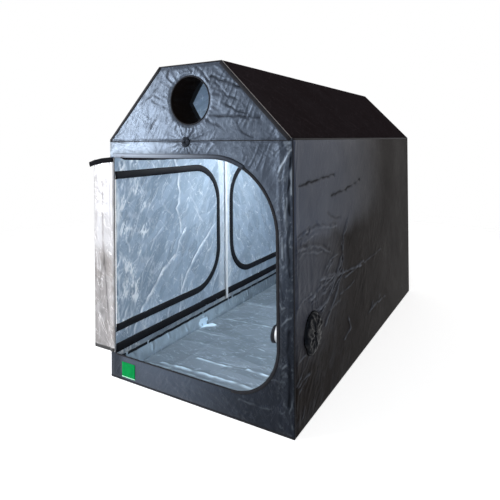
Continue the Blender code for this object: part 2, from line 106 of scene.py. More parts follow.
def turned(u, v, angle, stretch):  # the same point in axes turned by an angle, squeezed along them
    c, s = math.cos(math.radians(angle)), math.sin(math.radians(angle))
    return (u * c + v * s) / stretch, v * c - u * s


def rays(u, v, centre, start, reach, count, seed):  # creases that run out from a ring
    du, dv = u - centre[0], v - centre[1]
    far = math.hypot(du, dv)
    turn = math.atan2(dv, du)
    fade = math.exp(-max(0.0, far - start) / reach)
    point = Vector((math.cos(turn) * count, math.sin(turn) * count, seed + far * 3))
    return fade * (1 - min(1.0, abs(noise.noise(point)) * sharpness))


def facets(u, v, size, seed, turns=(12, 57, 101, 148)):  # flat facets between crossing creases, 0 to 1
    wideU, wideV = u / size / 3, v / size / 3
    a = u + 1.1 * size * noise.noise(Vector((wideU, wideV, seed)))
    b = v + 1.1 * size * noise.noise(Vector((wideU, wideV, seed + 4)))
    high = 0.0
    for n, turn in enumerate(turns):
        along = (a * math.cos(math.radians(turn)) + b * math.sin(math.radians(turn))) / size / (1 + 0.35 * n)
        share = smooth(0.5 + 1.3 * noise.noise(Vector((wideU, wideV, seed + 9 + 3 * n))))
        high += share * abs((along + 0.37 * n) % 1 - 0.5) * 2
    return high / len(turns)


def strokes(u, v, length, gap, angle, seed):  # long thin creases that come and go, 0 to 1
    a, b = turned(u, v, angle, length / gap)
    line = 1 - min(1.0, abs(noise.noise(Vector((a / gap, b / gap, seed)))) * 4.5)
    return line * smooth(0.35 + 1.8 * noise.noise(Vector((u / length, v / length, seed + 2))))


foldReach = 2.5  # how many of its widths a fold reaches to either side


def boxed(folds):  # each named fold, its width given in millimetres, with the box that it reaches
    made = []
    for width, share, points in folds:
        width *= mm
        allU, allV = zip(*points)
        reach = foldReach * width
        box = (min(allU) - reach, max(allU) + reach, min(allV) - reach, max(allV) + reach)
        made.append((box, width, share, points))
    return made


def foldLines(u, v, folds, seed, wander=7 * mm):  # how near a point lies to the named folds, 0 to 1
    a = u + wander * noise.noise(Vector((u / 0.045, v / 0.045, seed)))
    b = v + wander * noise.noise(Vector((u / 0.045, v / 0.045, seed + 3)))
    high = 0.0
    for (lowU, highU, lowV, highV), width, share, points in folds:
        if not (lowU < a < highU and lowV < b < highV):
            continue
        for (u0, v0), (u1, v1) in zip(points, points[1:]):
            runU, runV = u1 - u0, v1 - v0
            along = ((a - u0) * runU + (b - v0) * runV) / (runU * runU + runV * runV)
            along = min(1.0, max(0.0, along))
            away = math.hypot(a - u0 - along * runU, b - v0 - along * runV)
            if away < foldReach * width:
                vary = 0.75 + 0.9 * noise.noise(Vector((a / 0.06, b / 0.06, seed + 6)))
                high = max(high, share * min(1.0, vary) * math.exp(-((away / width / 0.8) ** 2)))
    return high


def crumpled(u, v, sizes):  # a panel's swells, facets and strokes: each row is a height, then its function's values
    high = 0.0
    for form, kind in ((swell, "swells"), (facets, "facets"), (strokes, "strokes")):
        for height, *places in sizes.get(kind, ()):
            high += height * form(u, v, *places)
    return high


def roundedField(u, v, shape, gap=0.0):  # distance to a doorway's edge, negative inside it
    left, right = shape["left"] + gap, shape["right"] - gap
    low, high = shape["low"] + gap, shape["high"] - gap
    middleU, middleV = (left + right) / 2, (low + high) / 2
    radius = 0.0
    if u > middleU:
        radius = (shape["highRadius"] if v > middleV else shape["lowRadius"]) - gap
    a = abs(u - middleU) - (right - left) / 2 + radius
    b = abs(v - middleV) - (high - low) / 2 + radius
    return math.hypot(max(a, 0), max(b, 0)) + min(max(a, b), 0) - radius


def ringField(u, v, vent):  # distance to a round hole's edge, negative inside it
    return math.hypot(u - vent["u"], v - vent["v"]) - vent["radius"]


def arcPoints(u, v, radius, start, end, steps):
    turns = [math.radians(start + (end - start) * n / steps) for n in range(steps + 1)]
    return [(u + radius * math.cos(a), v + radius * math.sin(a)) for a in turns]


def doorwayPath(shape, steps):  # from the hinge's foot along the sill, up and back along the top
    right, low, high = shape["right"], shape["low"], shape["high"]
    lowR, highR = shape["lowRadius"], shape["highRadius"]
    path = [(shape["left"], low)]
    path += arcPoints(right - lowR, low + lowR, lowR, -90, 0, steps)
    path += arcPoints(right - highR, high - highR, highR, 0, 90, steps)
    path.append((shape["left"], high))
    return path


def spaced(path, step):  # the same path with points no further apart than a step
    points = [path[0]]
    for a, b in zip(path, path[1:]):
        count = max(1, math.ceil(math.dist(a, b) / step))
        points += [tuple(p + (q - p) * n / count for p, q in zip(a, b)) for n in range(1, count + 1)]
    return points


def material(name, colour, roughness, metallic=0.0, **sockets):
    made = bpy.data.materials.new(name)
    made.use_nodes = True
    shader = made.node_tree.nodes["Principled BSDF"]
    shader.inputs["Base Color"].default_value = (*colour, 1)
    shader.inputs["Roughness"].default_value = roughness
    shader.inputs["Metallic"].default_value = metallic
    for socket, value in sockets.items():
        shader.inputs[socket.replace("_", " ")].default_value = value
    return made


def node(made, kind, inputs=None, **settings):
    added = made.node_tree.nodes.new(kind)
    for key, value in settings.items():
        setattr(added, key, value)
    for key, value in (inputs or {}).items():
        if isinstance(value, bpy.types.NodeSocket):
            made.node_tree.links.new(value, added.inputs[key])
        else:
            added.inputs[key].default_value = value
    return added


def coordinates(made, turn=0.0, layer="Object"):
    source = node(made, "ShaderNodeTexCoord")
    inputs = {"Vector": source.outputs[layer], "Rotation": (0, 0, math.radians(turn))}
    return node(made, "ShaderNodeMapping", inputs).outputs[0]


def bump(made, height, strength, distance, under=None):
    inputs = {"Height": height, "Strength": strength, "Distance": distance}
    if under:
        inputs["Normal"] = under
    return node(made, "ShaderNodeBump", inputs).outputs[0]


def spread(made, value, low, high, newLow, newHigh):
    inputs = {"Value": value, "From Min": low, "From Max": high, "To Min": newLow, "To Max": newHigh}
    return node(made, "ShaderNodeMapRange", inputs).outputs[0]


def blendColours(made, share, first, second):
    inputs = {"Factor": share}
    for slot, colour in ((6, first), (7, second)):
        inputs[slot] = colour if isinstance(colour, bpy.types.NodeSocket) else (*colour, 1)
    return node(made, "ShaderNodeMix", inputs, data_type="RGBA").outputs[2]


def combined(made, operation, *values):
    return node(made, "ShaderNodeMath", dict(enumerate(values)), operation=operation).outputs[0]


def strongest(made, values):
    most = values[0]
    for value in values[1:]:
        most = combined(made, "MAXIMUM", most, value)
    return most


def cloudy(made, place, scale, detail, **others):  # soft noise
    inputs = {"Vector": place, "Scale": scale, "Detail": detail, **others}
    return node(made, "ShaderNodeTexNoise", inputs).outputs["Fac"]


def held(made, layer):  # a value that the cloth's own points hold
    return node(made, "ShaderNodeAttribute", attribute_name=layer).outputs["Fac"]


def plug(made, socket, value):
    shader = made.node_tree.nodes["Principled BSDF"]
    made.node_tree.links.new(value, shader.inputs[socket])


def weave(made, place, thread, strength):  # plain weave, over and under
    inputs = {"Vector": place, "Scale": math.pi / 10 / thread}
    waves = [node(made, "ShaderNodeTexWave", inputs, bands_direction=way).outputs["Fac"] for way in ("X", "Y")]
    return bump(made, strongest(made, waves), strength, thread / 4)


def streaks(made, place, turn, length, width, seed, thin=0.03, rare=0.46):  # long creases that come and go
    inputs = {"Vector": place, "Scale": (length, width, 1), "Rotation": (0, 0, math.radians(turn))}
    inputs["Location"] = (seed, seed * 0.7, seed)
    along = node(made, "ShaderNodeMapping", inputs, vector_type="TEXTURE").outputs[0]
    off = combined(made, "SUBTRACT", cloudy(made, along, 1.0, 1.5), 0.5)
    line = spread(made, combined(made, "ABSOLUTE", off), 0.0, thin, 1.0, 0.0)
    share = spread(made, cloudy(made, along, 0.6, 2.0), rare, rare + 0.16, 0.0, 1.0)
    return combined(made, "MULTIPLY", line, share)


def paintedFacetReflections(made, place, turn, size, stretch):  # painted reflections: each flat patch of crumpled cloth gets its own brightness, as each facet would catch a different part of the light
    warp = node(made, "ShaderNodeTexNoise", {"Vector": place, "Scale": 0.6 / size, "Detail": 1.0})
    inputs = {"Factor": 0.5 * size, 4: place, 5: warp.outputs["Color"]}
    moved = node(made, "ShaderNodeMix", inputs, data_type="VECTOR")
    inputs = {"Vector": moved.outputs[1], "Scale": (size * stretch, size, 1)}
    inputs["Rotation"] = (0, 0, math.radians(turn))
    along = node(made, "ShaderNodeMapping", inputs, vector_type="TEXTURE").outputs[0]
    cells = node(made, "ShaderNodeTexVoronoi", {"Vector": along, "Scale": 1.0})
    return node(made, "ShaderNodeSeparateColor", {"Color": cells.outputs["Color"]}).outputs[0]


def paintedCreaseLight(made, colour, pale, deep):  # painted crease light held by the cloth's points: painted highlight above 0, painted shade below
    glint = held(made, "glint")
    colour = blendColours(made, spread(made, glint, 0.0, 1.0, 0.0, 1.0), colour, pale)
    return blendColours(made, spread(made, glint, 0.0, -1.0, 0.0, 1.0), colour, deep)


# A coat's deep and pale colours, its roughness, how it shines where dull and where shiny, and the painted sheen tone
# it takes where shiny
def coatedBlack(name, deep, pale, rough, dull, shiny, paintedSheen, turns=(50, 118), glow=None, marked=True, mirror=0):
    made = material(name, deep, rough, Specular_IOR_Level=dull, Specular_Tint=(0.62, 0.79, 1, 1))
    place = coordinates(made, layer="UV")
    cloud = cloudy(made, place, 3.0, 5.0, Roughness=0.6)
    runs = ((turns[0], 0.16, 0.028, 1.3), (turns[1], 0.12, 0.022, 5.1), (turns[0] + 22, 0.07, 0.014, 9.7))
    lines = strongest(made, [streaks(made, place, *run) for run in runs])
    colour = blendColours(made, spread(made, cloud, 0.35, 0.7, 0.0, 1.0), deep, pale)
    # painted highlight: the streaked creases are drawn paler than the cloth
    colour = blendColours(made, lines, colour, tuple(channel * 1.5 for channel in pale))
    # glow is the colour of the painted highlights that the held glint lays on; below 0 the glint lays painted shade
    glow = glow or tuple(channel * 14 + 0.02 for channel in pale)
    if shiny > dull:
        shine = held(made, "shine")
        level = spread(made, shine, 0.0, 1.0, dull, shiny)
        # painted shade also cuts the specular where the held glint is dark
        kept = spread(made, held(made, "glint"), -0.8, 0.0, 0.1, 1.0)
        plug(made, "Specular IOR Level", combined(made, "MULTIPLY", level, kept))
        # painted sheen: where the held shine is high the colour goes to the sheen tone
        colour = blendColours(made, spread(made, shine, 0.0, 1.0, 0.0, 1.0), colour, paintedSheen)
    if mirror:
        plug(made, "Metallic", spread(made, held(made, "glint"), 0.3, 0.9, 0.0, mirror))
    if marked:
        colour = paintedCreaseLight(made, colour, glow, tuple(channel * 0.3 for channel in deep))
    plug(made, "Base Color", colour)
    plug(made, "Roughness", spread(made, cloud, 0.3, 0.75, rough - 0.05, rough + 0.08))
    fine = cloudy(made, place, 60.0, 4.0, Distortion=0.8)
    grain = bump(made, fine, 0.3, 1.0 * mm, weave(made, place, 0.9 * mm, 0.1))
    plug(made, "Normal", bump(made, lines, 0.25, 2.0 * mm, grain))
    return made


# the colour of the painted highlights along the creases
whiteGlint = (0.96, 0.98, 1)


def foil(name, deep, pale, metallic, rough, turns=(56, 128, 84), dark=0.35, size=0.05, paintedCreaseShade=0.35, paintedGlintColour=whiteGlint):
    made = material(name, pale, rough, metallic, Specular_IOR_Level=0.5)
    place = coordinates(made, layer="UV")
    cloud = cloudy(made, place, 4.0, 4.0, Roughness=0.6)
    both = combined(made, "ADD", paintedFacetReflections(made, place, turns[0], size, 2.6), cloud)
    colour = blendColours(made, spread(made, both, 0.35, 1.35, 0.0, 1.0), deep, pale)
    runs = (
        (turns[0], 0.2, 0.04, 2.3, 0.022, 0.52),
        (turns[1], 0.11, 0.026, 6.1, 0.022, 0.52),
        (turns[2], 0.09, 0.018, 11.7, 0.03, 0.54),
        (turns[0] - 24, 0.05, 0.011, 17.3, 0.04, 0.55),
    )
    lines = strongest(made, [streaks(made, place, *run) for run in runs])
    # painted shade along some of the creases
    shade = streaks(made, place, turns[0] + 8, 0.1, 0.02, 23.9)
    colour = blendColours(made, spread(made, shade, 0, 1, 0, paintedCreaseShade), colour, tuple(c * 0.6 for c in deep))
    # painted highlights along the crease streaks
    bright = tuple(min(1, c * 2.5) for c in pale)
    colour = blendColours(made, spread(made, lines, 0, 1, 0, 0.8), colour, bright)
    plug(made, "Base Color", paintedCreaseLight(made, colour, paintedGlintColour, tuple(c * dark for c in deep)))
    plug(made, "Roughness", spread(made, cloud, 0.3, 0.7, rough - 0.06, rough + 0.08))
    fine = cloudy(made, place, 45.0, 5.0, Distortion=1.2)
    grain = bump(made, fine, 0.3, 1.4 * mm, weave(made, place, 1.2 * mm, 0.05))
    plug(made, "Normal", bump(made, lines, 0.5, 2.2 * mm, grain))
    return made


def tapeCloth(name, colour, rough=0.6, specular=0.12):  # woven zip tape and binding, stitched along both edges
    made = material(name, colour, rough, Specular_IOR_Level=specular)
    place = coordinates(made, layer="UV")
    split = node(made, "ShaderNodeSeparateXYZ", {"Vector": place})
    twill = coordinates(made, turn=35, layer="UV")
    ribs = node(made, "ShaderNodeTexWave", {"Vector": twill, "Scale": 160.0, "Distortion": 0.4})
    lift = tuple(channel * 1.6 + 0.003 for channel in colour)
    plug(made, "Base Color", blendColours(made, cloudy(made, place, 30.0, 3.0), colour, lift))
    ribbed = bump(made, ribs.outputs["Fac"], 0.3, 0.4 * mm)
    stitches = combined(made, "SINE", combined(made, "MULTIPLY", split.outputs["X"], 800.0))
    plug(made, "Normal", bump(made, stitches, 0.1, 0.3 * mm, ribbed))
    return made


def powderCoat(name, colour):
    made = material(name, colour, 0.32, Specular_IOR_Level=0.5, Coat_Weight=0.2, Coat_Roughness=0.2)
    place = coordinates(made)
    peel, dust = cloudy(made, place, 420.0, 2.0), cloudy(made, place, 9.0, 4.0)
    worn = tuple(channel * 0.86 for channel in colour)
    plug(made, "Base Color", blendColours(made, spread(made, dust, 0.5, 0.8, 0, 1), colour, worn))
    plug(made, "Normal", bump(made, peel, 0.15, 0.3 * mm))
    return made


def mouldedPlastic(name, colour):
    made = material(name, colour, 0.45, Specular_IOR_Level=0.4)
    place = coordinates(made)
    grain = node(made, "ShaderNodeTexVoronoi", {"Vector": place, "Scale": 900.0})
    plug(made, "Roughness", spread(made, cloudy(made, place, 40.0, 6.0), 0.35, 0.7, 0.36, 0.6))
    plug(made, "Normal", bump(made, grain.outputs["Distance"], 0.2, 0.2 * mm))
    return made


def platedMetal(name, colour):
    made = material(name, colour, 0.42, 0.7)
    worn = cloudy(made, coordinates(made), 260.0, 4.0)
    plug(made, "Roughness", spread(made, worn, 0.3, 0.7, 0.22, 0.42))
    plug(made, "Normal", bump(made, worn, 0.1, 0.1 * mm))
    return made


frontTones = ((0.008, 0.009, 0.012), (0.014, 0.016, 0.022), 0.37, 0.06, 0.62, (0.025, 0.03, 0.044))
coverTones = ((0.0075, 0.0045, 0.0038), (0.0115, 0.009, 0.0085), 0.46, 0.015, 0.22, (0.038, 0.049, 0.083))
roofTones = ((0.024, 0.018, 0.02), (0.029, 0.023, 0.026), 0.7, 0.0, 0.0, (0, 0, 0))
sockTones = ((0.002, 0.002, 0.003), (0.004, 0.004, 0.006), 0.2, 0.06, 0.06, (0, 0, 0))
flapTones = ((0.014, 0.015, 0.02), (0.02, 0.022, 0.03), 0.4, 0.2, 0.2, (0, 0, 0))
trayTones = {"turns": (8, 170, 40), "size": 0.12, "paintedCreaseShade": 0.0, "paintedGlintColour": (0.72, 0.88, 1)}
finishes = {
    "front": coatedBlack("frontCoated", *frontTones, turns=(62, 128), glow=(0.34, 0.39, 0.44)),
    "cover": coatedBlack("coatedBlack", *coverTones, glow=(0.27, 0.3, 0.36)),
    "backing": coatedBlack("blackBacking", *coverTones[:3], 0.06, 0.06, (0, 0, 0), marked=False),
    "roof": coatedBlack("roofCoated", *roofTones),
    "sock": coatedBlack("softBlack", *sockTones, glow=(0.92, 0.96, 1), mirror=0.9),
    "flapCloth": coatedBlack("flapCoated", *flapTones, glow=(0.33, 0.37, 0.43)),
    "lining": foil("foilLining", (0.26, 0.325, 0.4), (0.39, 0.475, 0.57), 0.25, 0.34),
    "doorLining": foil("doorFoil", (0.25, 0.226, 0.212), (0.372, 0.352, 0.345), 0.2, 0.34, dark=0.03),
    "tray": foil("trayFoil", (0.12, 0.15, 0.175), (0.18, 0.218, 0.255), 0.1, 0.42, **trayTones),
    "tape": tapeCloth("zipTape", (0.008, 0.008, 0.010)),
    "darkTape": tapeCloth("darkTape", (0.003, 0.003, 0.004), 0.75, 0.03),
    # a pale piping colour that stands in for the highlight along the roof's front edge
    "piping": tapeCloth("pipingHighlight", (0.2, 0.19, 0.18), 0.5),
    "tube": powderCoat("whitePowderCoat", (0.82, 0.83, 0.84)),
    "connector": mouldedPlastic("blackMoulding", (0.03, 0.03, 0.033)),
    "metal": platedMetal("darkPlate", (0.05, 0.05, 0.055)),
    "label": tapeCloth("greenLabel", (0.001, 0.2, 0.045), 0.7, 0.04),
    "labelEdge": tapeCloth("paleLabelEdge", (0.42, 0.8, 0.58), 0.6, 0.04),
}
print("materials made:", len(finishes))


def clothGrid(left, right, low, high, step, stepUp=None, lean=0.0):  # a lean crowds the columns to the left
    bm = bmesh.new()
    width, height = right - left, high - low
    columns, rows = round(width / step), round(height / (stepUp or step))
    bmesh.ops.create_grid(bm, x_segments=columns, y_segments=rows, size=0.5)
    for vert in bm.verts:
        share = vert.co.x + 0.5
        vert.co.x = (1 - lean) * share + lean * share * share - 0.5
    bmesh.ops.scale(bm, vec=(width, height, 1), verts=bm.verts)
    bmesh.ops.translate(bm, vec=((left + right) / 2, (low + high) / 2, 0), verts=bm.verts)
    return bm


def ontoEdge(vert, field):  # slides a grid point onto a cut line
    reach = 0.5 * mm
    u, v, gap = vert.co.x, vert.co.y, field(vert.co.x, vert.co.y)
    slopeU = (field(u + reach, v) - field(u - reach, v)) / 2 / reach
    slopeV = (field(u, v + reach) - field(u, v - reach)) / 2 / reach
    vert.co.x -= slopeU * gap
    vert.co.y -= slopeV * gap


def cutAway(bm, goes):  # takes out the faces whose middle goes
    picked = [face for face in bm.faces if goes(*face.calc_center_median().xy)]
    bmesh.ops.delete(bm, geom=picked, context="FACES")


def cutAlong(bm, point, normal, clear=False):  # a straight cut, which can clear its outer side
    parts = bm.verts[:] + bm.edges[:] + bm.faces[:]
    bmesh.ops.bisect_plane(bm, geom=parts, plane_co=point, plane_no=normal, clear_outer=clear)


def cutHole(bm, field, step, keepInside=False):
    for vert in bm.verts:
        if abs(field(vert.co.x, vert.co.y)) < step * 0.45:
            ontoEdge(vert, field)
    side = -1 if keepInside else 1
    cutAway(bm, lambda u, v: side * field(u, v) < 0)
    for vert in bm.verts:
        if vert.is_boundary and abs(field(vert.co.x, vert.co.y)) < step * 1.2:
            ontoEdge(vert, field)


def link(name, bm, *fabrics):
    mesh = bpy.data.meshes.new(name)
    bm.to_mesh(mesh)
    bm.free()
    piece = bpy.data.objects.new(name, mesh)
    bpy.context.scene.collection.objects.link(piece)
    for fabric in fabrics:
        mesh.materials.append(finishes[fabric])
    mesh.shade_smooth()
    return piece


def thicken(piece, thickness, offset=0.0, inside=0, name="cloth"):  # inside is the step to the inner face's fabric
    wall = piece.modifiers.new(name, "SOLIDIFY")
    wall.thickness, wall.offset, wall.material_offset = thickness, offset, inside


def finishSheet(name, bm, place, outward, outside, inside="lining", body="tent", slot="cover_black", **extra):
    uv = bm.loops.layers.uv.new("cloth")
    for face in bm.faces:
        for loop in face.loops:
            loop[uv].uv = loop.vert.co.xy
    carried = bm.verts.layers.float.new("glint")
    gloss = bm.verts.layers.float.new("shine")
    for vert in bm.verts:
        for layer, value in ((carried, extra.get("glint")), (gloss, extra.get("shine"))):
            if value:
                vert[layer] = value(vert.co.x, vert.co.y)
        vert.co = place(vert.co.x, vert.co.y)
    bm.normal_update()
    facing = sum((face.normal.dot(Vector(outward)) * face.calc_area() for face in bm.faces), 0.0)
    if facing < 0:
        bmesh.ops.reverse_faces(bm, faces=bm.faces)
    piece = link(name, bm, outside, inside)
    thicken(piece, extra.get("thick", tent["cloth"]), extra.get("offset", -1), 1)
    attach(piece, body)
    return piece


def grownRow(bm, edges):  # the next row drawn out of a row of edges: its edges and its points
    grown = bmesh.ops.extrude_edge_only(bm, edges=edges)["geom"]
    kinds = (bmesh.types.BMEdge, bmesh.types.BMVert)
    return [[item for item in grown if isinstance(item, kind)] for kind in kinds]


def nearest(path, vert):  # which point of a path lies nearest
    return min(range(len(path)), key=lambda n: (vert.co.xy - Vector(path[n])).length_squared)


def bandMesh(path, widths, closed=False):  # rows of edges drawn out sideways along a path in the wall
    bm = bmesh.new()
    uv = bm.loops.layers.uv.new("cloth")
    bm.verts.layers.float.new("glint")
    count = len(path)
    sides = []
    for n, point in enumerate(path):
        before = path[n - 1] if n or closed else path[0]
        after = path[(n + 1) % count] if n < count - 1 or closed else path[-1]
        run = Vector((after[0] - before[0], after[1] - before[1])).normalized()
        sides.append(Vector((-run.y, run.x)))
    row = [bm.verts.new((*(Vector(p) + s * widths[0]), widths[0])) for p, s in zip(path, sides)]
    pairs = list(zip(row, row[1:])) + ([(row[-1], row[0])] if closed else [])
    edges = [bm.edges.new(pair) for pair in pairs]
    for width in widths[1:]:
        edges, grown = grownRow(bm, edges)
        for vert in grown:
            index = nearest(path, vert)
            vert.co = (*(Vector(path[index]) + sides[index] * width), width)
    return bm, uv


def bandRows(width, count=4, shift=0.0):  # where the rows of a band lie to the side of its path
    return [shift - width / 2 + width * n / count for n in range(count + 1)]


# A ribbon sewn along a path: lift is its height over the cloth and crown how much higher its middle stands
def band(name, path, widths, place, fabric="tape", body="tent", slot="cover_black", crown=0.0, glint=None, **extra):
    bm, uv = bandMesh(path, widths, extra.get("closed", False))
    lift = extra.get("lift", 0.6 * mm)
    lengths = [0.0]
    for a, b in zip(path, path[1:]):
        lengths.append(lengths[-1] + math.dist(a, b))
    middle = (widths[0] + widths[-1]) / 2
    half = abs(widths[-1] - widths[0]) / 2
    runs = {vert: lengths[nearest(path, vert)] for vert in bm.verts}
    for face in bm.faces:
        for loop in face.loops:
            loop[uv].uv = (runs[loop.vert], loop.vert.co.z)
    carried = bm.verts.layers.float["glint"]
    for vert in bm.verts:
        if glint:
            vert[carried] = glint(vert.co.x, vert.co.y)
        aside = (vert.co.z - middle) / half
        vert.co = place(vert.co.x, vert.co.y, lift + crown * (1 - aside * aside))
    bm.normal_update()
    piece = link(name, bm, fabric)
    thicken(piece, thinCloth)
    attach(piece, body)


slope = Vector((tent["halfWidth"] - tent["ridgeHalf"], tent["peak"] - tent["eave"]))
slopeNormal = Vector((slope.y, slope.x)).normalized()


def roofGap(x, z):  # how far a point of a gable lies under the roof
    side = Vector((abs(x) - tent["halfWidth"], z - tent["eave"]))
    return min(-side.dot(slopeNormal), tent["peak"] - z)


def cutGable(bm):  # trims a gable's cloth along the slopes of the roof
    for side in (-1, 1):
        normal = (side * slopeNormal.x, slopeNormal.y, 0)
        cutAlong(bm, (side * tent["halfWidth"], tent["eave"], 0), normal, clear=True)


frontCloth = {
    "step": 5.4 * mm,
    "swells": [(2.5 * mm, 0.3, 1.0)],
    "facets": [(5 * mm, 0.13, 2.0, (20, 64, 118, 160)), (1.8 * mm, 0.05, 7.0)],
    "strokes": [(1.8 * mm, 0.16, 0.03, 62, 9.0), (1.8 * mm, 0.14, 0.03, -28, 14.0)],
    "ventRays": 3.5 * mm,
    "portRays": 7 * mm,
    "cornerRays": 6 * mm,
    "edgeFold": 6 * mm,
    "gableFold": 5 * mm,
    "seam": 1.39,
}
gableFolds = boxed([
    (8, 0.9, [(0.14, 1.725), (0.21, 1.7), (0.33, 1.655)]),
    (7, 0.8, [(0.05, 1.78), (0.09, 1.75), (0.125, 1.7)]),
    (7, 0.8, [(0.21, 1.585), (0.3, 1.54), (0.43, 1.507)]),
    (6.5, 0.8, [(0.136, 1.52), (0.27, 1.515), (0.43, 1.5)]),
    (7, 0.7, [(0.119, 1.495), (0.17, 1.475), (0.22, 1.447)]),
    (6.5, 0.5, [(-0.19, 1.72), (-0.28, 1.636), (-0.36, 1.6)]),
    (6.5, 0.5, [(-0.245, 1.647), (-0.156, 1.6)]),
    (6.5, 0.5, [(-0.26, 1.62), (-0.17, 1.575)]),
    (6.5, 0.6, [(-0.22, 1.532), (-0.26, 1.48), (-0.285, 1.438)]),
    (6.5, 0.6, [(0.3, 1.48), (0.33, 1.43), (0.395, 1.405)]),
    (6.5, 0.5, [(0.17, 1.69), (0.24, 1.62), (0.3, 1.6)]),
    (7, 0.6, [(-0.14, 1.78), (-0.15, 1.74), (-0.12, 1.71)]),
])
edgeFolds = boxed([
    (7, 1.0, [(0.593, 1.36), (0.574, 1.296), (0.535, 1.24)]),
    (5, 0.9, [(0.592, 1.33), (0.588, 1.23), (0.588, 1.106)]),
    (5, 0.7, [(0.56, 1.1), (0.566, 0.99), (0.589, 0.9)]),
    (5, 0.6, [(0.544, 0.9), (0.55, 0.83)]),
    (5, 0.7, [(0.531, 0.62), (0.545, 0.593), (0.561, 0.6)]),
    (5, 0.7, [(0.59, 0.565), (0.566, 0.555), (0.541, 0.52)]),
    (5, 0.5, [(0.476, 0.25), (0.55, 0.257)]),
    (5, 0.6, [(0.548, 0.322), (0.569, 0.341), (0.59, 0.32)]),
    (5, 0.6, [(0.575, 0.3), (0.588, 0.2), (0.58, 0.12), (0.592, 0.05)]),
    (5, 0.4, [(0.3, 0.11), (0.4, 0.1), (0.48, 0.115)]),
])
cornerLights = boxed([
    (9, 1.3, [(0.562, 1.376), (0.588, 1.376)]),
    (9, 1.2, [(0.575, 1.374), (0.577, 1.35)]),
    (6, 1.0, [(0.598, 1.352), (0.562, 1.297), (0.532, 1.24)]),
    (5, 0.8, [(0.598, 1.3), (0.596, 1.22), (0.594, 1.14)]),
    (5, 0.6, [(0.574, 1.12), (0.568, 1.02), (0.59, 0.93)]),
    (6, 0.5, [(0.545, 0.93), (0.548, 0.84)]),
])
cornerShades = boxed([
    (6, 1.0, [(0.594, 1.335), (0.586, 1.219), (0.58, 1.13), (0.586, 1.04)]),
    (6, 0.7, [(0.55, 1.384), (0.572, 1.336)]),
    (6, 0.6, [(0.586, 1.0), (0.575, 0.9), (0.585, 0.75)]),
    (6, 0.5, [(0.535, 0.72), (0.545, 0.64)]),
    (7, 0.6, [(0.58, 0.5), (0.57, 0.4), (0.583, 0.3), (0.575, 0.15)]),
])


def frontShine(u, v):  # painted shade: the cloth takes less sheen tone and is dull low on the right and at the foot of its left corner
    foot = 0.75 * smooth((-0.48 - u) / 0.06) * smooth((0.2 - v) / 0.05)
    return 1 - 0.7 * smooth((u + 0.3) / 0.8) * smooth((1.3 - v) / 1.0) - 0.25 * smooth((u + 0.2) / 0.6) - foot


# painted highlights on the folds, the eave band, the gable's left and the crumples, and painted shade in the creases
def frontGlint(u, v):
    pale = foldLines(u + 5 * mm, v - 4 * mm, gableFolds, 201.0) * 0.35
    lines = foldLines(u, v, edgeFolds, 202.0, 9 * mm) * 0.42
    lines = max(lines, 1.05 * foldLines(u, v, cornerLights, 205.0, 5 * mm))
    bandHighlight = smooth((v - 1.3) / 0.01) * smooth((frontCloth["seam"] - v) / 0.01) * smooth((0.15 - u) / 0.7)
    bandHighlight *= 0.5 + 0.9 * facets(u, v, 0.02, 203.0, (70, 95, 120))
    leftHighlight = 0.34 * smooth((-0.1 - u) / 0.4) * smooth((v - 1.2) / 0.2) * swell(u, v, 0.08, 204.0)
    # painted highlights on the crumples by the right edge
    crumple = strokes(u, v, 0.035, 0.011, 75, 206.0) * smooth((u - 0.5) / 0.03)
    crumple *= 0.12 + 0.14 * smooth((v - 0.5) / 0.4)
    turn = 58 if u < -0.05 else -48
    upper = smooth((v - 1.3) / 0.02)
    fine = max(strokes(u, v, 0.05, 0.013, turn, 208.0), strokes(u, v, 0.035, 0.011, turn - 32, 209.0))
    fine *= 0.05 + (0.1 + 0.14 * smooth((0.2 - u) / 0.6)) * upper
    shade = max(strokes(u + 8 * mm, v, 0.05, 0.013, turn, 208.0), strokes(u, v, 0.06, 0.014, turn + 20, 219.0))
    shade *= 0.06 + 0.22 * upper * smooth((ringField(u, v, roofVent) - 0.01) / 0.02)
    pale = max(pale, lines, bandHighlight, leftHighlight + fine, crumple)
    deep = max(foldLines(u, v, gableFolds, 201.0), foldLines(u, v, cornerShades, 207.0, 5 * mm))
    return pale - max(1.3 * deep, shade)


def frontRelief(u, v):  # how far the front cloth stands proud of its frame
    sizes = frontCloth
    edge = min(roofGap(u, v), tent["halfWidth"] - abs(u), v - tent["foot"])
    free = smooth(edge / 0.03) * smooth(abs(roundedField(u, v, doorway)) / 0.045)
    free *= smooth(ringField(u, v, roofVent) / 0.02)
    seam = smooth(abs(v - sizes["seam"]) / 0.014)
    high = crumpled(u, v, sizes)
    high += sizes["ventRays"] * rays(u, v, (roofVent["u"], roofVent["v"]), roofVent["radius"], 0.05, 6, 3.0)
    high += sizes["portRays"] * rays(u, v, (port["u"], port["v"]), port["radius"], 0.06, 5, 4.0)
    below = smooth((sizes["seam"] - v) / 0.03)
    corner = (tent["halfWidth"], tent["eave"])
    high += sizes["cornerRays"] * rays(u, v, corner, 0.02, 0.12, 5, 5.0) * below
    high += sizes["cornerRays"] * rays(u, v, (-corner[0], corner[1]), 0.02, 0.12, 6, 6.0)
    fold = crease(u, v * 0.12, 0.03, 8.0) + 1.2 * facets(u, v, 0.035, 10.0, (60, 78, 100, 125))
    high += 0.55 * sizes["edgeFold"] * fold * smooth((u - 0.49) / 0.05) * smooth((edge - 0.002) / 0.01)
    high += sizes["edgeFold"] * foldLines(u, v, edgeFolds, 202.0, 9 * mm)
    high = max(0.0, high - sizes["gableFold"] * foldLines(u, v, gableFolds, 201.0))
    return standOff + high * free * (0.3 + 0.7 * seam)


def frontAt(u, v, lift=0.0):
    return Vector((u, -tent["halfLength"] - frontRelief(u, v) - lift, v))


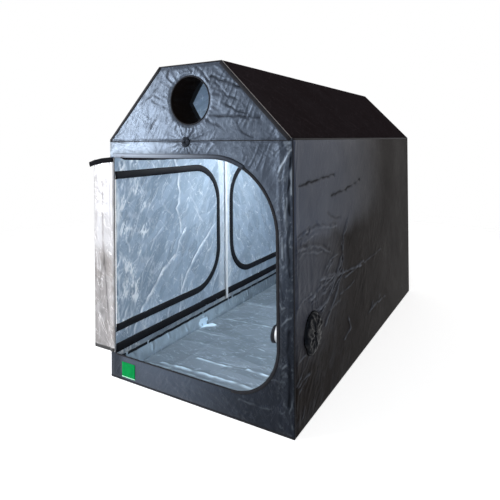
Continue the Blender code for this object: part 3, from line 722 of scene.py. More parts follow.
def frontPanel():
    step = frontCloth["step"]
    bm = clothGrid(-tent["halfWidth"], tent["halfWidth"], tent["foot"], tent["peak"], step)
    cutGable(bm)
    cutHole(bm, lambda u, v: roundedField(u, v, doorway), step)
    cutHole(bm, lambda u, v: ringField(u, v, roofVent), step)
    panel = finishSheet("frontCloth", bm, frontAt, (0, -1, 0), "front", glint=frontGlint, shine=frontShine)
    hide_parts("front_wall")


wallCloth = {
    "step": 11 * mm,
    "stepUp": 7 * mm,
    "lean": 0.45,
    "swell": 3 * mm,
    "facet": 4 * mm,
    "stroke": 1.4 * mm,
    "ventRays": 4 * mm,
    "frontFold": 4 * mm,
    "fold": 9 * mm,
    "shade": 5 * mm,
}
wallShades = boxed([
    (9, 1.0, [(-1.137, 1.169), (-0.981, 1.178), (-0.788, 1.19), (-0.665, 1.188)]),
    (9, 1.0, [(-0.716, 1.082), (-0.501, 1.089), (-0.37, 1.107), (-0.207, 1.132)]),
    (8, 0.6, [(-0.763, 0.986), (-0.69, 0.955), (-0.606, 0.94)]),
    (9, 0.5, [(-1.166, 0.93), (-1.05, 0.95), (-0.933, 0.953), (-0.8, 0.93), (-0.639, 0.916)]),
    (9, 0.5, [(-1.167, 0.88), (-1.005, 0.87), (-0.9, 0.85), (-0.75, 0.79)]),
    (6, 0.9, [(-1.149, 0.912), (-1.043, 0.932), (-0.955, 0.947)]),
    (7, 0.7, [(-0.772, 0.994), (-0.649, 0.942), (-0.566, 0.942)]),
])
wallFolds = boxed([
    (8, 0.6, [(-1.166, 0.915), (-1.05, 0.935), (-0.933, 0.938), (-0.8, 0.915), (-0.639, 0.9)]),
    (8, 0.6, [(-1.167, 0.865), (-1.005, 0.855), (-0.9, 0.835), (-0.75, 0.775)]),
    (7, 0.5, [(-1.16, 0.83), (-1.05, 0.84), (-0.95, 0.81), (-0.86, 0.8)]),
    (8, 0.8, [(-0.431, 0.914), (-0.526, 0.82), (-0.545, 0.728), (-0.647, 0.634), (-0.758, 0.573)]),
    (7, 0.9, [(-0.15, 0.59), (-0.33, 0.578), (-0.515, 0.576)]),
    (8, 1.0, [(-0.57, 0.684), (-0.671, 0.612), (-0.781, 0.53), (-0.916, 0.508)]),
    (7, 0.8, [(-0.69, 0.604), (-0.833, 0.584), (-0.931, 0.562)]),
    (8, 0.9, [(-0.55, 0.63), (-0.593, 0.585), (-0.673, 0.511), (-0.82, 0.399)]),
    (7, 0.7, [(-0.596, 0.467), (-0.68, 0.47), (-0.765, 0.466)]),
    (7, 0.8, [(-0.8, 0.64), (-0.882, 0.611), (-1.037, 0.589)]),
    (7, 0.7, [(-0.611, 0.624), (-0.75, 0.65), (-0.897, 0.659)]),
    (7, 0.6, [(-0.74, 0.72), (-0.8, 0.66), (-0.84, 0.6)]),
    (7, 0.5, [(-0.66, 0.74), (-0.72, 0.7), (-0.78, 0.69)]),
    (9, 0.9, [(-0.454, 0.31), (-0.412, 0.24), (-0.522, 0.215)]),
    (8, 0.6, [(0.06, 0.26), (0.02, 0.23), (-0.02, 0.21)]),
    (8, 0.4, [(0.25, 0.25), (0.2, 0.24)]),
    (7, 0.4, [(-1.03, 0.317), (-1.1, 0.28), (-1.182, 0.239)]),
    (7, 0.5, [(-1.015, 0.239), (-1.156, 0.2)]),
    (7, 0.4, [(-1.09, 0.1), (-1.12, 0.06)]),
    (5, 0.9, [(-0.571, 0.776), (-0.517, 0.838), (-0.462, 0.902)]),
    (6, 1.0, [(-0.894, 0.656), (-0.625, 0.618), (-0.195, 0.574)]),
    (6, 0.5, [(-0.195, 0.574), (0.267, 0.577)]),
    (5, 0.9, [(-0.626, 0.613), (-0.539, 0.686), (-0.554, 0.773)]),
    (5, 0.9, [(-1.051, 0.593), (-0.868, 0.622), (-0.625, 0.624)]),
    (5, 0.8, [(-1.002, 0.567), (-0.753, 0.579)]),
    (5, 1.0, [(-0.871, 0.494), (-0.723, 0.548), (-0.592, 0.604)]),
    (5, 0.9, [(-0.831, 0.394), (-0.756, 0.457), (-0.596, 0.464)]),
    (5, 0.8, [(-0.809, 0.704), (-0.718, 0.738), (-0.622, 0.74)]),
    (5, 0.8, [(-1.167, 0.609), (-1.001, 0.618)]),
    (5, 0.7, [(-0.595, 0.499), (-0.38, 0.498), (-0.34, 0.513)]),
    (8, 0.7, [(-0.049, 0.214), (0.097, 0.224), (0.366, 0.201)]),
    (5, 0.6, [(-1.172, 0.344), (-1.056, 0.335)]),
    (5, 0.6, [(-1.175, 0.231), (-1.009, 0.239)]),
    (5, 0.7, [(-1.116, 0.886), (-0.994, 0.903), (-0.916, 0.909)]),
    (5, 0.6, [(-0.914, 0.962), (-0.804, 0.911), (-0.682, 0.924)]),
    (5, 0.6, [(-0.977, 0.518), (-0.898, 0.524)]),
])


def rightShine(u, v):  # painted sheen: a slate sheen tone and more specular above the folds at the front, dull below and towards the rear
    line = 0.86 + 0.03 * noise.noise(Vector((u / 0.12, 0, 214.0)))
    upper = smooth((v - line + 0.06) / (0.14 + 0.1 * smooth(u + 0.6))) * (1 - smooth((u + 1.2) / 1.65))
    lower = 0.55 * smooth((v - 0.2) / 0.5) * smooth((-0.4 - u) / 0.7)
    return max(upper * (0.75 + 0.35 * swell(u, v, 0.25, 213.0)), lower)


# painted highlights along the folds and fine creases, painted shade along the named shades and under each fold
def rightGlint(u, v):
    lines = foldLines(u, v, wallFolds, 211.0, 10 * mm)
    front = smooth((-0.3 - u) / 0.5)
    fine = max(strokes(u, v, 0.12, 0.02, 28, 215.0), strokes(u, v, 0.08, 0.017, 46, 216.0))
    fine *= smooth((0.95 - v) / 0.1) * (0.02 + 0.12 * front) * swell(u, v, 0.1, 217.0)
    vary = 0.3 + 1.1 * swell(u, v, 0.04, 218.0)
    shade = 0.5 * foldLines(u, v + 9 * mm, wallFolds, 211.0, 10 * mm)
    return 0.8 * lines * vary + fine - max(foldLines(u, v, wallShades, 212.0, 10 * mm), shade * (1 - lines))


def rightRelief(u, v):
    sizes = wallCloth
    edge = min(tent["halfLength"] - abs(u), v - tent["foot"], tent["eave"] - v)
    free = smooth(edge / 0.02) * smooth(ringField(u, v, lowVent) / 0.015)
    low = 0.25 + 0.75 * smooth((1.0 - v) / 0.35) * smooth((0.9 - u) / 1.2)
    high = sizes["swell"] * swell(u, v, 0.45, 11.0)
    high += (0.4 + 0.6 * low) * sizes["facet"] * facets(u, v, 0.17, 12.0, (35, 66, 120, 155))
    high += low * 0.35 * sizes["facet"] * facets(u, v, 0.06, 17.0)
    high += low * sizes["stroke"] * strokes(u, v, 0.3, 0.035, 42, 15.0)
    high += low * sizes["stroke"] * strokes(u, v, 0.2, 0.03, 66, 19.0)
    above = smooth((v - lowVent["v"] + 0.1) / 0.2)
    middle = (lowVent["u"], lowVent["v"])
    high += sizes["ventRays"] * above * rays(u, v, middle, lowVent["radius"], 0.28, 6, 13.0)
    high += sizes["frontFold"] * crease(u, v * 0.15, 0.03, 18.0) * smooth((-1.12 - u) / 0.05)
    high += sizes["fold"] * foldLines(u, v, wallFolds, 211.0, 10 * mm)
    high = max(0.0, high - sizes["shade"] * foldLines(u, v, wallShades, 212.0, 10 * mm))
    return standOff + high * free


def rightAt(u, v, lift=0.0):
    return Vector((tent["halfWidth"] + rightRelief(u, v) + lift, u, v))


leftCloth = {
    "step": 9 * mm,
    "swells": [(3 * mm, 0.4, 21.0)],
    "facets": [(8 * mm, 0.15, 22.0, (30, 62, 95, 140)), (2.5 * mm, 0.055, 27.0)],
    "strokes": [(3 * mm, 0.25, 0.03, 60, 25.0)],
}
liningFolds = boxed([
    (14, 1.0, [(-0.593, 1.209), (-0.565, 1.15), (-0.573, 1.08)]),
    (10, 1.0, [(-0.573, 1.08), (-0.562, 1.019), (-0.571, 0.943)]),
    (7, 0.9, [(-0.571, 0.943), (-0.597, 0.914), (-0.572, 0.856), (-0.551, 0.798), (-0.548, 0.733)]),
    (6, 0.8, [(-0.492, 0.761), (-0.574, 0.678), (-0.592, 0.605), (-0.629, 0.554)]),
    (5, 0.6, [(-0.574, 0.678), (-0.532, 0.619)]),
    (7, 0.8, [(-1.067, 0.896), (-1.074, 0.841), (-1.071, 0.769), (-1.052, 0.742), (-1.043, 0.701)]),
    (6, 0.4, [(-1.055, 1.108), (-1.043, 1.05)]),
    (9, 0.5, [(-0.984, 1.144), (-0.916, 1.056), (-0.951, 1.015)]),
    (7, 0.4, [(-0.861, 1.009), (-0.896, 0.959)]),
    (6, 0.6, [(-0.706, 0.829), (-0.767, 0.787), (-0.827, 0.737), (-0.857, 0.677)]),
    (6, 0.4, [(-0.744, 0.965), (-0.634, 0.855)]),
    (9, 1.0, [(-0.14, 0.732), (-0.301, 0.606), (-0.359, 0.561), (-0.487, 0.421), (-0.54, 0.336)]),
    (12, 1.0, [(-0.62, 0.585), (-0.732, 0.52), (-0.838, 0.41), (-0.909, 0.341), (-0.965, 0.29)]),
    (6, 0.6, [(-1.17, 0.605), (-1.07, 0.61), (-0.975, 0.643)]),
    (8, 0.9, [(-0.54, 0.43), (-0.545, 0.381), (-0.557, 0.275), (-0.575, 0.174)]),
    (9, 1.0, [(-1.128, 1.268), (-1.11, 1.202)]),
    (8, 1.0, [(-1.09, 1.268), (-1.07, 1.202)]),
    (9, 1.0, [(-1.041, 1.269), (-1.035, 1.202)]),
    (7, 0.9, [(-0.98, 1.268), (-0.95, 1.21)]),
    (8, 0.9, [(-0.777, 1.268), (-0.763, 1.231)]),
    (8, 0.9, [(-0.62, 1.27), (-0.6, 1.22)]),
    (28, 1.2, [(-1.18, 1.16), (-1.15, 1.037), (-1.143, 0.915), (-1.176, 0.771)]),
    (8, 0.7, [(-1.13, 0.58), (-1.14, 0.5), (-1.13, 0.44)]),
    (7, 0.6, [(-1.08, 0.55), (-1.07, 0.48)]),
    (7, 0.6, [(-1.1, 0.42), (-1.12, 0.33)]),
    (7, 0.6, [(-1.02, 0.45), (-1.04, 0.36), (-1.03, 0.3)]),
    (7, 0.5, [(-0.98, 0.52), (-1.0, 0.42)]),
    (6, 0.4, [(-0.93, 0.55), (-0.95, 0.45)]),
    (8, 0.9, [(-0.99, 0.27), (-1.01, 0.18)]),
    (7, 0.6, [(-0.9, 0.25), (-0.92, 0.18)]),
    (8, 0.7, [(-0.8, 0.26), (-0.81, 0.18)]),
    (7, 0.6, [(-0.68, 0.26), (-0.7, 0.18)]),
    (7, 0.5, [(-0.4, 0.9), (-0.3, 0.78)]),
    (13, 1.0, [(-1.17, 0.63), (-1.14, 0.56)]),
    (10, 1.0, [(-1.1, 0.52), (-1.08, 0.44)]),
    (11, 1.0, [(-1.16, 0.42), (-1.15, 0.34)]),
    (9, 0.9, [(-1.06, 0.38), (-1.09, 0.31)]),
    (6, 0.4, [(-0.45, 1.0), (-0.35, 0.86)]),
    (6, 0.9, [(-0.012, 1.3), (-0.015, 0.9), (-0.012, 0.5), (-0.014, 0.2)]),
])
rearFolds = boxed([
    (7, 0.5, [(0.62, 1.16), (0.61, 0.8), (0.62, 0.32)]),
    (6, 0.5, [(0.3, 0.72), (0.5, 0.8), (0.62, 0.79)]),
    (6, 0.4, [(0.35, 0.95), (0.5, 1.04), (0.7, 1.0)]),
])


# painted highlights along the lining's folds, the creases near the front and the middle of the wall, and painted shade
# beside the folds
def leftGlint(u, v):
    bright = foldLines(u, v, liningFolds, 221.0)
    near = smooth((-0.75 - u) / 0.3)
    bright = max(bright, (0.1 + 2.2 * near) * strokes(u, v, 0.08, 0.016, 72, 224.0) * swell(u, v, 0.12, 225.0) * 1.3)
    bright = max(bright, 0.3 * smooth((0.1 - abs(u)) / 0.03))
    dark = 0.35 * foldLines(u + 16 * mm, v, liningFolds, 221.0) + 0.4 * foldLines(u, v, rearFolds, 222.0)
    return bright - dark * (1 - bright)


def leftRelief(u, v):
    edge = min(tent["halfLength"] - abs(u), v - tent["foot"], tent["eave"] - v)
    door = roundedField(-abs(u), v, sideDoorway)
    free = smooth(edge / 0.02) * smooth(abs(door) / 0.04)
    return standOff + crumpled(u, v, leftCloth) * free


def leftAt(u, v, lift=0.0):
    return Vector((-tent["halfWidth"] - leftRelief(u, v) - lift, u, v))


rearCloth = {
    "step": 15 * mm,
    "swells": [(4 * mm, 0.35, 31.0)],
    "facets": [(6 * mm, 0.16, 32.0)],
    "strokes": [(2 * mm, 0.2, 0.03, 30, 37.0)],
}


def rearRelief(u, v):
    edge = min(roofGap(u, v), tent["halfWidth"] - abs(u), v - tent["foot"])
    return standOff + crumpled(u, v, rearCloth) * smooth(edge / 0.03)


def rearAt(u, v, lift=0.0):
    return Vector((u, tent["halfLength"] + rearRelief(u, v) + lift, v))


def sidePanels():
    low, high = tent["foot"], tent["eave"] - tent["cloth"]
    reach = wallBox[1][1]
    right = clothGrid(-reach, reach, low, high, wallCloth["step"], wallCloth["stepUp"], wallCloth["lean"])
    cutHole(right, lambda u, v: ringField(u, v, lowVent), wallCloth["stepUp"])
    panel = finishSheet("rightCloth", right, rightAt, (1, 0, 0), "cover", glint=rightGlint, shine=rightShine)
    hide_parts("right_wall")
    left = clothGrid(-reach, reach, low, high, leftCloth["step"])
    cutHole(left, lambda u, v: roundedField(-abs(u), v, sideDoorway), leftCloth["step"])
    panel = finishSheet("leftCloth", left, leftAt, (-1, 0, 0), "backing", glint=leftGlint)
    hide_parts("left_wall")
    rear = clothGrid(-tent["halfWidth"], tent["halfWidth"], low, tent["peak"], rearCloth["step"])
    cutGable(rear)
    panel = finishSheet("rearCloth", rear, rearAt, (0, 1, 0), "backing")
    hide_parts("rear_wall")


def roofLine():  # the roof's section from the left eave to the right, with rounded ridges
    centre = (tent["ridgeHalf"] - tent["ridgeRound"] * 0.42, tent["peak"] - tent["ridgeRound"])
    lean = math.degrees(math.atan2(slopeNormal.y, slopeNormal.x))
    bend = arcPoints(centre[0], centre[1], tent["ridgeRound"], lean, 90, 3)
    half = [(tent["halfWidth"], tent["eave"])] + bend
    return [(-x, z) for x, z in half] + half[::-1]


roofPath = roofLine()
roofRuns = [0.0]
for startPoint, endPoint in zip(roofPath, roofPath[1:]):
    roofRuns.append(roofRuns[-1] + math.dist(startPoint, endPoint))


def roofSpot(run):  # the point of the roof's section at a length along it, and its outward direction
    run = min(max(run, 0.0), roofRuns[-1])
    for n, (a, b) in enumerate(zip(roofPath, roofPath[1:])):
        if run <= roofRuns[n + 1] or n == len(roofPath) - 2:
            share = (run - roofRuns[n]) / (roofRuns[n + 1] - roofRuns[n])
            along = Vector((b[0] - a[0], b[1] - a[1])).normalized()
            return Vector(a).lerp(Vector(b), share), Vector((-along.y, along.x))


roofCloth = {
    "step": 12 * mm,
    "swells": [(3 * mm, 0.5, 41.0)],
    "facets": [(3 * mm, 0.2, 42.0), (0.8 * mm, 0.07, 47.0)],
}


def roofRelief(run, v):
    edge = min(run, roofRuns[-1] - run, tent["halfLength"] - abs(v))
    ridge = min(abs(run - roofRuns[1]), abs(run - roofRuns[-2]))
    free = smooth(edge / 0.03) * (0.3 + 0.7 * smooth(ridge / 0.06))
    return standOff / 2 + crumpled(run, v, roofCloth) * free


def roofAt(run, v):
    spot, out = roofSpot(run)
    spot = spot + out * roofRelief(run, v)
    return Vector((spot.x, v, spot.y))


def roofPanel():
    reach = tent["halfLength"] - tent["cloth"]
    bm = clothGrid(0, roofRuns[-1], -reach, reach, roofCloth["step"])
    panel = finishSheet("roofCloth", bm, roofAt, (0, 0, 1), "roof")
    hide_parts("roof_cover")


floorCloth = {"step": 50 * mm}


def floorPanel():
    def floorAt(u, v):
        return Vector((u, v, standOff / 2))

    halfU, halfV = tent["halfWidth"], tent["halfLength"]
    bm = clothGrid(-halfU, halfU, -halfV, halfV, floorCloth["step"])
    panel = finishSheet("floorCloth", bm, floorAt, (0, 0, -1), "cover")
    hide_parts("floor_sheet")


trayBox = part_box("floor_tray")
trayHeight = trayBox[1][2] - trayBox[0][2] - tent["cloth"]
halfTrayU, halfTrayV = trayBox[1][0] - tent["cloth"], trayBox[1][1] - tent["cloth"]
traySizes = {
    "step": 10 * mm,
    "fold": 0.3,
    "foldHeight": 3 * mm,
    "crease": 7 * mm,
    "lean": 6 * mm,
    "swells": [(5 * mm, 0.22, 51.0)],
    "facets": [(7 * mm, 0.16, 52.0, (5, 50, 88, 140)), (2 * mm, 0.06, 57.0)],
}
trayFolds = boxed([
    (11, 1.0, [(-0.44, -0.945), (-0.3, -0.935), (-0.159, -0.925), (-0.006, -0.925), (0.22, -0.932)]),
    (5, 0.5, [(-0.5, -0.985), (-0.2, -0.97), (0.1, -0.985)]),
    (8, 0.9, [(-0.28, -0.787), (-0.18, -0.79), (-0.106, -0.79), (-0.031, -0.783)]),
    (9, 1.0, [(0.073, -0.76), (0.15, -0.765), (0.24, -0.766)]),
    (6, 0.7, [(-0.474, -0.165), (-0.3, -0.15), (-0.1, -0.14), (0.05, -0.13)]),
    (6, 0.5, [(0.001, -0.603), (0.1, -0.595)]),
    (6, 0.5, [(-0.56, -0.44), (-0.42, -0.45), (-0.3, -0.44)]),
    (5, 0.3, [(-0.4, -0.6), (-0.3, -0.62), (-0.2, -0.6)]),
    (6, 0.4, [(-0.5, 0.2), (-0.2, 0.22), (0.1, 0.21)]),
    (7, 0.4, [(-0.5, 0.62), (-0.1, 0.6), (0.3, 0.61)]),
    (18, 1.6, [(-0.6, -0.4), (-0.55, -0.365), (-0.49, -0.31)]),
    (18, 1.6, [(-0.62, -0.37), (-0.57, -0.34), (-0.5, -0.31)]),
    (16, 1.5, [(-0.64, -0.335), (-0.58, -0.32), (-0.51, -0.305)]),
    (13, 2.5, [(-0.6, -0.4), (-0.6, -0.31)]),
    (15, 2.2, [(-0.59, -0.345), (-0.53, -0.325)]),
    (13, 2.5, [(-0.618, -0.38), (-0.618, -0.315)]),
    (11, 2.5, [(-0.635, -0.355), (-0.635, -0.325)]),
    (13, 1.0, [(-0.685, -0.922), (-0.64, -0.905), (-0.605, -0.897)]),
    (8, 0.9, [(-0.69, -0.775), (-0.62, -0.737)]),
    (12, 1.0, [(-0.69, -0.588), (-0.64, -0.56), (-0.6, -0.54)]),
    (7, 0.8, [(-0.69, -0.24), (-0.6, -0.19)]),
    (7, 0.6, [(-0.69, -0.03), (-0.62, 0.0)]),
    (8, 0.6, [(-0.69, 0.25), (-0.61, 0.28)]),
    (8, 0.6, [(-0.69, 0.6), (-0.61, 0.62)]),
    (10, 0.7, [(-0.67, -1.1), (-0.62, -1.05), (-0.56, -1.03)]),
])


# painted highlights along the tray's folds and where its edge turns up, and painted shade beside the folds
def trayGlint(u, v):
    bright = foldLines(u, v, trayFolds, 241.0)
    rise = smooth((abs(u) - trayBox[1][0] + 2 * mm) / 0.012) * smooth((0.9 - v) / 1.6)
    bright = max(bright, 0.42 * rise * (0.5 + 0.8 * swell(u, v, 0.07, 242.0)))
    dark = 0.5 * foldLines(u, v - 16 * mm, trayFolds, 241.0)
    return bright - dark * (1 - bright)


def trayAt(u, v):  # the flat sheet's edge turned up all round
    riseU, riseV = max(0.0, abs(u) - halfTrayU), max(0.0, abs(v) - halfTrayV)
    rise = max(riseU, riseV)
    flat = smooth(min(halfTrayU - abs(u), halfTrayV - abs(v)) / 0.05)
    foldU = abs((u / traySizes["fold"] + 0.13) % 1 - 0.5) * 2
    foldV = abs((v / traySizes["fold"] + 0.3) % 1 - 0.5) * 2
    folds = smooth((foldU - 0.86) / 0.14) + smooth((foldV - 0.86) / 0.14)
    high = crumpled(u, v, traySizes) + traySizes["foldHeight"] * folds
    high += traySizes["crease"] * foldLines(u, v, trayFolds, 241.0)
    lean = 0.0
    if rise > 0:
        along = v if riseU > riseV else u
        lean = smooth(rise / 0.03) * traySizes["lean"] * crease(along, rise * 0.3, 0.06, 55.0)
    x = math.copysign(min(abs(u), halfTrayU) - (lean if riseU >= riseV else 0), u)
    y = math.copysign(min(abs(v), halfTrayV) - (lean if riseV > riseU else 0), v)
    return Vector((x, y, trayBox[0][2] + tent["cloth"] + high * flat + rise))


def floorTray():
    reachU, reachV = halfTrayU + trayHeight, halfTrayV + trayHeight
    bm = clothGrid(-reachU, reachU, -reachV, reachV, traySizes["step"])
    for normal in ((1, 0, 0), (0, 1, 0)):  # rows exactly on the fold lines
        for side in (-1, 1):
            cutAlong(bm, (side * halfTrayU * normal[0], side * halfTrayV * normal[1], 0), normal)
    cutAway(bm, lambda u, v: abs(u) > halfTrayU and abs(v) > halfTrayV)
    tray = finishSheet("trayCloth", bm, trayAt, (0, 0, 1), "tray", "backing", slot="tray_sheet", glint=trayGlint)
    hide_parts("floor_tray")


frontPanel()
sidePanels()
roofPanel()
floorPanel()
floorTray()
print("cover panels sewn")

hinge = {"front": doorway["left"], "stackLeft": -0.737, "stackRight": -0.608}
stripSizes = {
    "count": 8,
    "step": 8.5 * mm,
    "bulge": 5 * mm,
    "crumple": 7 * mm,
    "droop": 12 * mm,
    "hingeBulge": 5 * mm,
    "hingeSwell": 2 * mm,
}


def bundleRelief(x, z):  # how far the stored strips stand forward, the same for each so that they nest
    inner = (x - hinge["stackLeft"]) / (hinge["stackRight"] - hinge["stackLeft"])
    if inner > 1:
        inner = 1 + (x - hinge["stackRight"]) / (hinge["front"] - hinge["stackRight"])
        arch = max(0.0, math.sin(math.pi * min(inner - 1, 1)))
        return arch * (stripSizes["hingeBulge"] + stripSizes["hingeSwell"] * swell(x, z, 0.1, 61.0))
    arch = max(0.0, math.sin(math.pi * max(inner, 0)))
    ends = smooth((z - doorway["low"]) / 0.05) * smooth((doorway["high"] - z) / 0.05)
    high = stripSizes["bulge"] * swell(x, z, 0.2, 62.0)
    high += stripSizes["crumple"] * facets(x, z, 0.07, 63.0, (15, 60, 95, 135))
    return arch * high * (0.2 + 0.8 * ends)


bundleShades = boxed([
    (6, 1.3, [(-0.66, 1.25), (-0.662, 1.1), (-0.66, 0.85), (-0.65, 0.68), (-0.632, 0.5), (-0.612, 0.3)]),
    (6, 0.6, [(-0.72, 1.2), (-0.712, 1.0), (-0.722, 0.8)]),
    (5, 0.5, [(-0.66, 0.66), (-0.69, 0.55), (-0.68, 0.42)]),
    (7, 0.5, [(-0.7, 1.272), (-0.66, 1.262), (-0.63, 1.25)]),
])
bundleLights = boxed([
    (6, 0.9, [(-0.718, 0.72), (-0.706, 0.62), (-0.71, 0.55)]),
    (5, 0.8, [(-0.69, 0.7), (-0.684, 0.64), (-0.696, 0.57)]),
    (4, 0.8, [(-0.66, 0.6), (-0.672, 0.55), (-0.662, 0.51)]),
    (5, 0.5, [(-0.7, 0.42), (-0.69, 0.3), (-0.7, 0.2)]),
    (9, 0.9, [(-0.572, 1.28), (-0.572, 0.9), (-0.573, 0.5), (-0.572, 0.16)]),
])


def bundleGlint(x, v, field):  # painted light above, painted shade among the creases below and along the folds, painted highlights on some folds, with black tape round the door's free edge
    upper = smooth((v - 0.66) / 0.12)
    left = smooth((-0.615 - x) / 0.03)
    value = upper * (0.22 - 0.12 * facets(x, v, 0.07, 233.0))
    value -= (1 - upper) * (0.04 + left * (0.06 + 0.5 * facets(x, v, 0.035, 232.0)))
    value -= 0.6 * foldLines(x, v, bundleShades, 231.0, 3 * mm)
    value += 0.75 * foldLines(x, v, bundleLights, 234.0, 4 * mm)
    tape = smooth((field + 24 * mm) / (6 * mm))
    return value * (1 - tape) - tape


freeEdge = {**doorway, "left": doorway["left"] - 0.3}  # the zip runs round all but the hinge side


def frontDoor():
    width = doorway["right"] - doorway["left"]
    pastCorner = hinge["front"] - hinge["stackRight"]
    narrow = (width - pastCorner) / stripSizes["count"]
    along = doorway["left"]
    hingeX = hinge["front"]
    for number in range(1, stripSizes["count"] + 1):
        wide = narrow + pastCorner if number == 1 else narrow
        start, end = along, min(along + wide, doorway["right"] - zipGap)
        bm = clothGrid(start, end, doorway["low"] + zipGap, doorway["high"] - zipGap, stripSizes["step"])
        cutHole(bm, lambda u, v: roundedField(u, v, doorway, zipGap), stripSizes["step"], keepInside=True)
        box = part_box(f"front_door_strip_{number}")
        middle = (box[0][1] + box[1][1]) / 2
        back = -1 if number % 2 else 1

        def stored(u, begin=along, x0=hingeX, way=back):  # where a point of the closed door lies in the bundle
            return x0 + way * (u - begin)

        def stripAt(u, v, y=middle, where=stored):
            x = where(u)
            droop = stripSizes["droop"] * smooth((-0.64 - x) / 0.09) * smooth((v - 1.1) / 0.15)
            return Vector((x, y - bundleRelief(x, v), v - droop))

        def stripGlint(u, v, where=stored):
            return bundleGlint(where(u), v, roundedField(u, v, freeEdge, zipGap))

        foilSide = (0, -1, 0) if number % 2 else (0, 1, 0)
        body, name = f"door_strip_{number}", f"frontDoorStrip{number}"
        looks = {"thick": thinCloth, "offset": 0, "glint": stripGlint}
        strip = finishSheet(name, bm, stripAt, foilSide, "doorLining", "backing", body, "door_lining", **looks)
        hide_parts(f"front_door_strip_{number}")
        along += wide
        hingeX = hinge["stackLeft"] if number % 2 else hinge["stackRight"]
    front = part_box("front_door_strip_1")[0][1]

    def foldedTop(u, v, lift=0.0):
        return Vector((u, front - bundleRelief(u, min(v, 1.27)) - 2 * mm - lift, v))

    hang = spaced([(-0.568, 1.284), (-0.66, 1.276), (-0.735, 1.262), (-0.774, 1.25)], 0.01)
    band("frontDoorTopTape", hang, bandRows(30 * mm), foldedTop, "darkTape", "door_strip_1", crown=2 * mm)
    hemU, short = doorway["left"] - 19 * mm, 4 * mm
    hem = spaced([(hemU, doorway["low"] + short), (hemU, doorway["high"] - short)], tapeStep)
    # painted highlight: the hem's foil is paled a little
    looks = {"slot": "door_lining", "lift": 1 * mm, "glint": lambda u, v: 0.2}
    band("frontDoorHingeHem", hem, bandRows(32 * mm, 3), frontAt, "doorLining", **looks)


sideDoorCloth = {
    "steps": {"front": 6.5 * mm, "rear": 11 * mm},
    "corners": 0.43,  # what the two round corners leave out, in squares of the radius
    "swells": [(3 * mm, 0.3, 71.0)],
    "facets": [(9 * mm, 0.17, 72.0, (25, 60, 98, 145)), (2.5 * mm, 0.055, 77.0)],
    "strokes": [(4 * mm, 0.35, 0.035, 57, 75.0)],
    "fold": 6 * mm,
    "rearFold": 4 * mm,
}


def sideDoorRelief(u, v):
    door = -roundedField(-abs(u), v, sideDoorway, zipGap)
    high = crumpled(u, v, sideDoorCloth) + sideDoorCloth["fold"] * foldLines(u, v, liningFolds, 221.0)
    high += sideDoorCloth["rearFold"] * foldLines(u, v, rearFolds, 222.0)
    hinged = smooth((-sideDoorway["left"] - abs(u)) / 0.12)
    return standOff + high * smooth(door / 0.04) * (0.15 + 0.85 * hinged)


def sideDoors():
    left, right = sideDoorway["left"], sideDoorway["right"] - zipGap
    low, high = sideDoorway["low"] + zipGap, sideDoorway["high"] - zipGap
    for end, sign in (("front", 1), ("rear", -1)):
        step = sideDoorCloth["steps"][end]
        bm = clothGrid(left, right, low, high, step)
        cutHole(bm, lambda u, v: roundedField(u, v, sideDoorway, zipGap), step, keepInside=True)

        def doorAt(u, v, way=sign):
            return Vector((-tent["halfWidth"] - sideDoorRelief(way * u, v), way * u, v))

        def doorGlint(u, v, way=sign):
            return leftGlint(way * u, v)

        name, body = f"sideDoor{end.capitalize()}", f"side_flap_{end}"
        door = finishSheet(name, bm, doorAt, (-1, 0, 0), "backing", body=body, glint=doorGlint)
        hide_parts(f"side_door_{end}")


frontDoor()
sideDoors()
print("doors hung")

sleeveSizes = {
    "depth": 0.18,
    "halfWidth": 0.12,
    "halfHeight": 0.165,
    "creaseShare": 0.85,
    "droop": 0.0,
    "hem": 0.8,
    "glint": 0.0,
}
sleeveSteps, sleeveRings, sleeveSeat = 72, 16, 1.8 * mm
# the low sleeve's glint is a painted highlight that pales its foil
lowSleeveSizes = {"depth": 0.212, "mouth": 0.045, "droop": 52 * mm, "hem": 0.87, "glint": 0.45}


def openSleeve(name, vent, sizes, mouth, place, solid, wallNode, fabrics, slot):
    bm = bmesh.new()
    uv = bm.loops.layers.uv.new("cloth")
    carried = bm.verts.layers.float.new("glint")
    radius, depth = vent["radius"], sizes["depth"]
    bmesh.ops.create_circle(bm, segments=sleeveSteps, radius=radius)
    edges = bm.edges[:]
    for ring in range(1, sleeveRings + 1):  # each point's height holds its share of the depth until it is placed
        edges, grown = grownRow(bm, edges)
        for vert in grown:
            vert.co.z = ring / sleeveRings
    turns = {vert: math.atan2(vert.co.y, vert.co.x) for vert in bm.verts}
    for face in bm.faces:
        if face.calc_center_median().z > sizes["hem"]:
            face.material_index = 2
        for loop in face.loops:
            loop[uv].uv = (turns[loop.vert] * radius, loop.vert.co.z * depth)
    for vert, turn in turns.items():
        share = vert.co.z
        rim = Vector((radius * math.cos(turn), radius * math.sin(turn)))
        at = rim.lerp(Vector(mouth(turn)), share)
        wrinkle = crease(math.cos(turn) * 3, math.sin(turn) * 3, 1, 81 + share)
        pull = 1 - 0.05 * math.sin(math.pi * share) * wrinkle
        vert.co = place(at.x * pull, at.y * pull - sizes["droop"] * share**2, depth * share)
        # painted highlight held on each point
        vert[carried] = sizes["glint"]
    middle = place(0, -sizes["droop"] / 2, depth / 2)
    bm.normal_update()
    facing = sum((face.normal.dot(face.calc_center_median() - middle) for face in bm.faces), 0.0)
    if facing < 0:
        bmesh.ops.reverse_faces(bm, faces=bm.faces)
    sleeve = link(name, bm, *fabrics)
    thicken(sleeve, tent["cloth"], inside=1)
    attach(sleeve, "tent")
    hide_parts(solid)


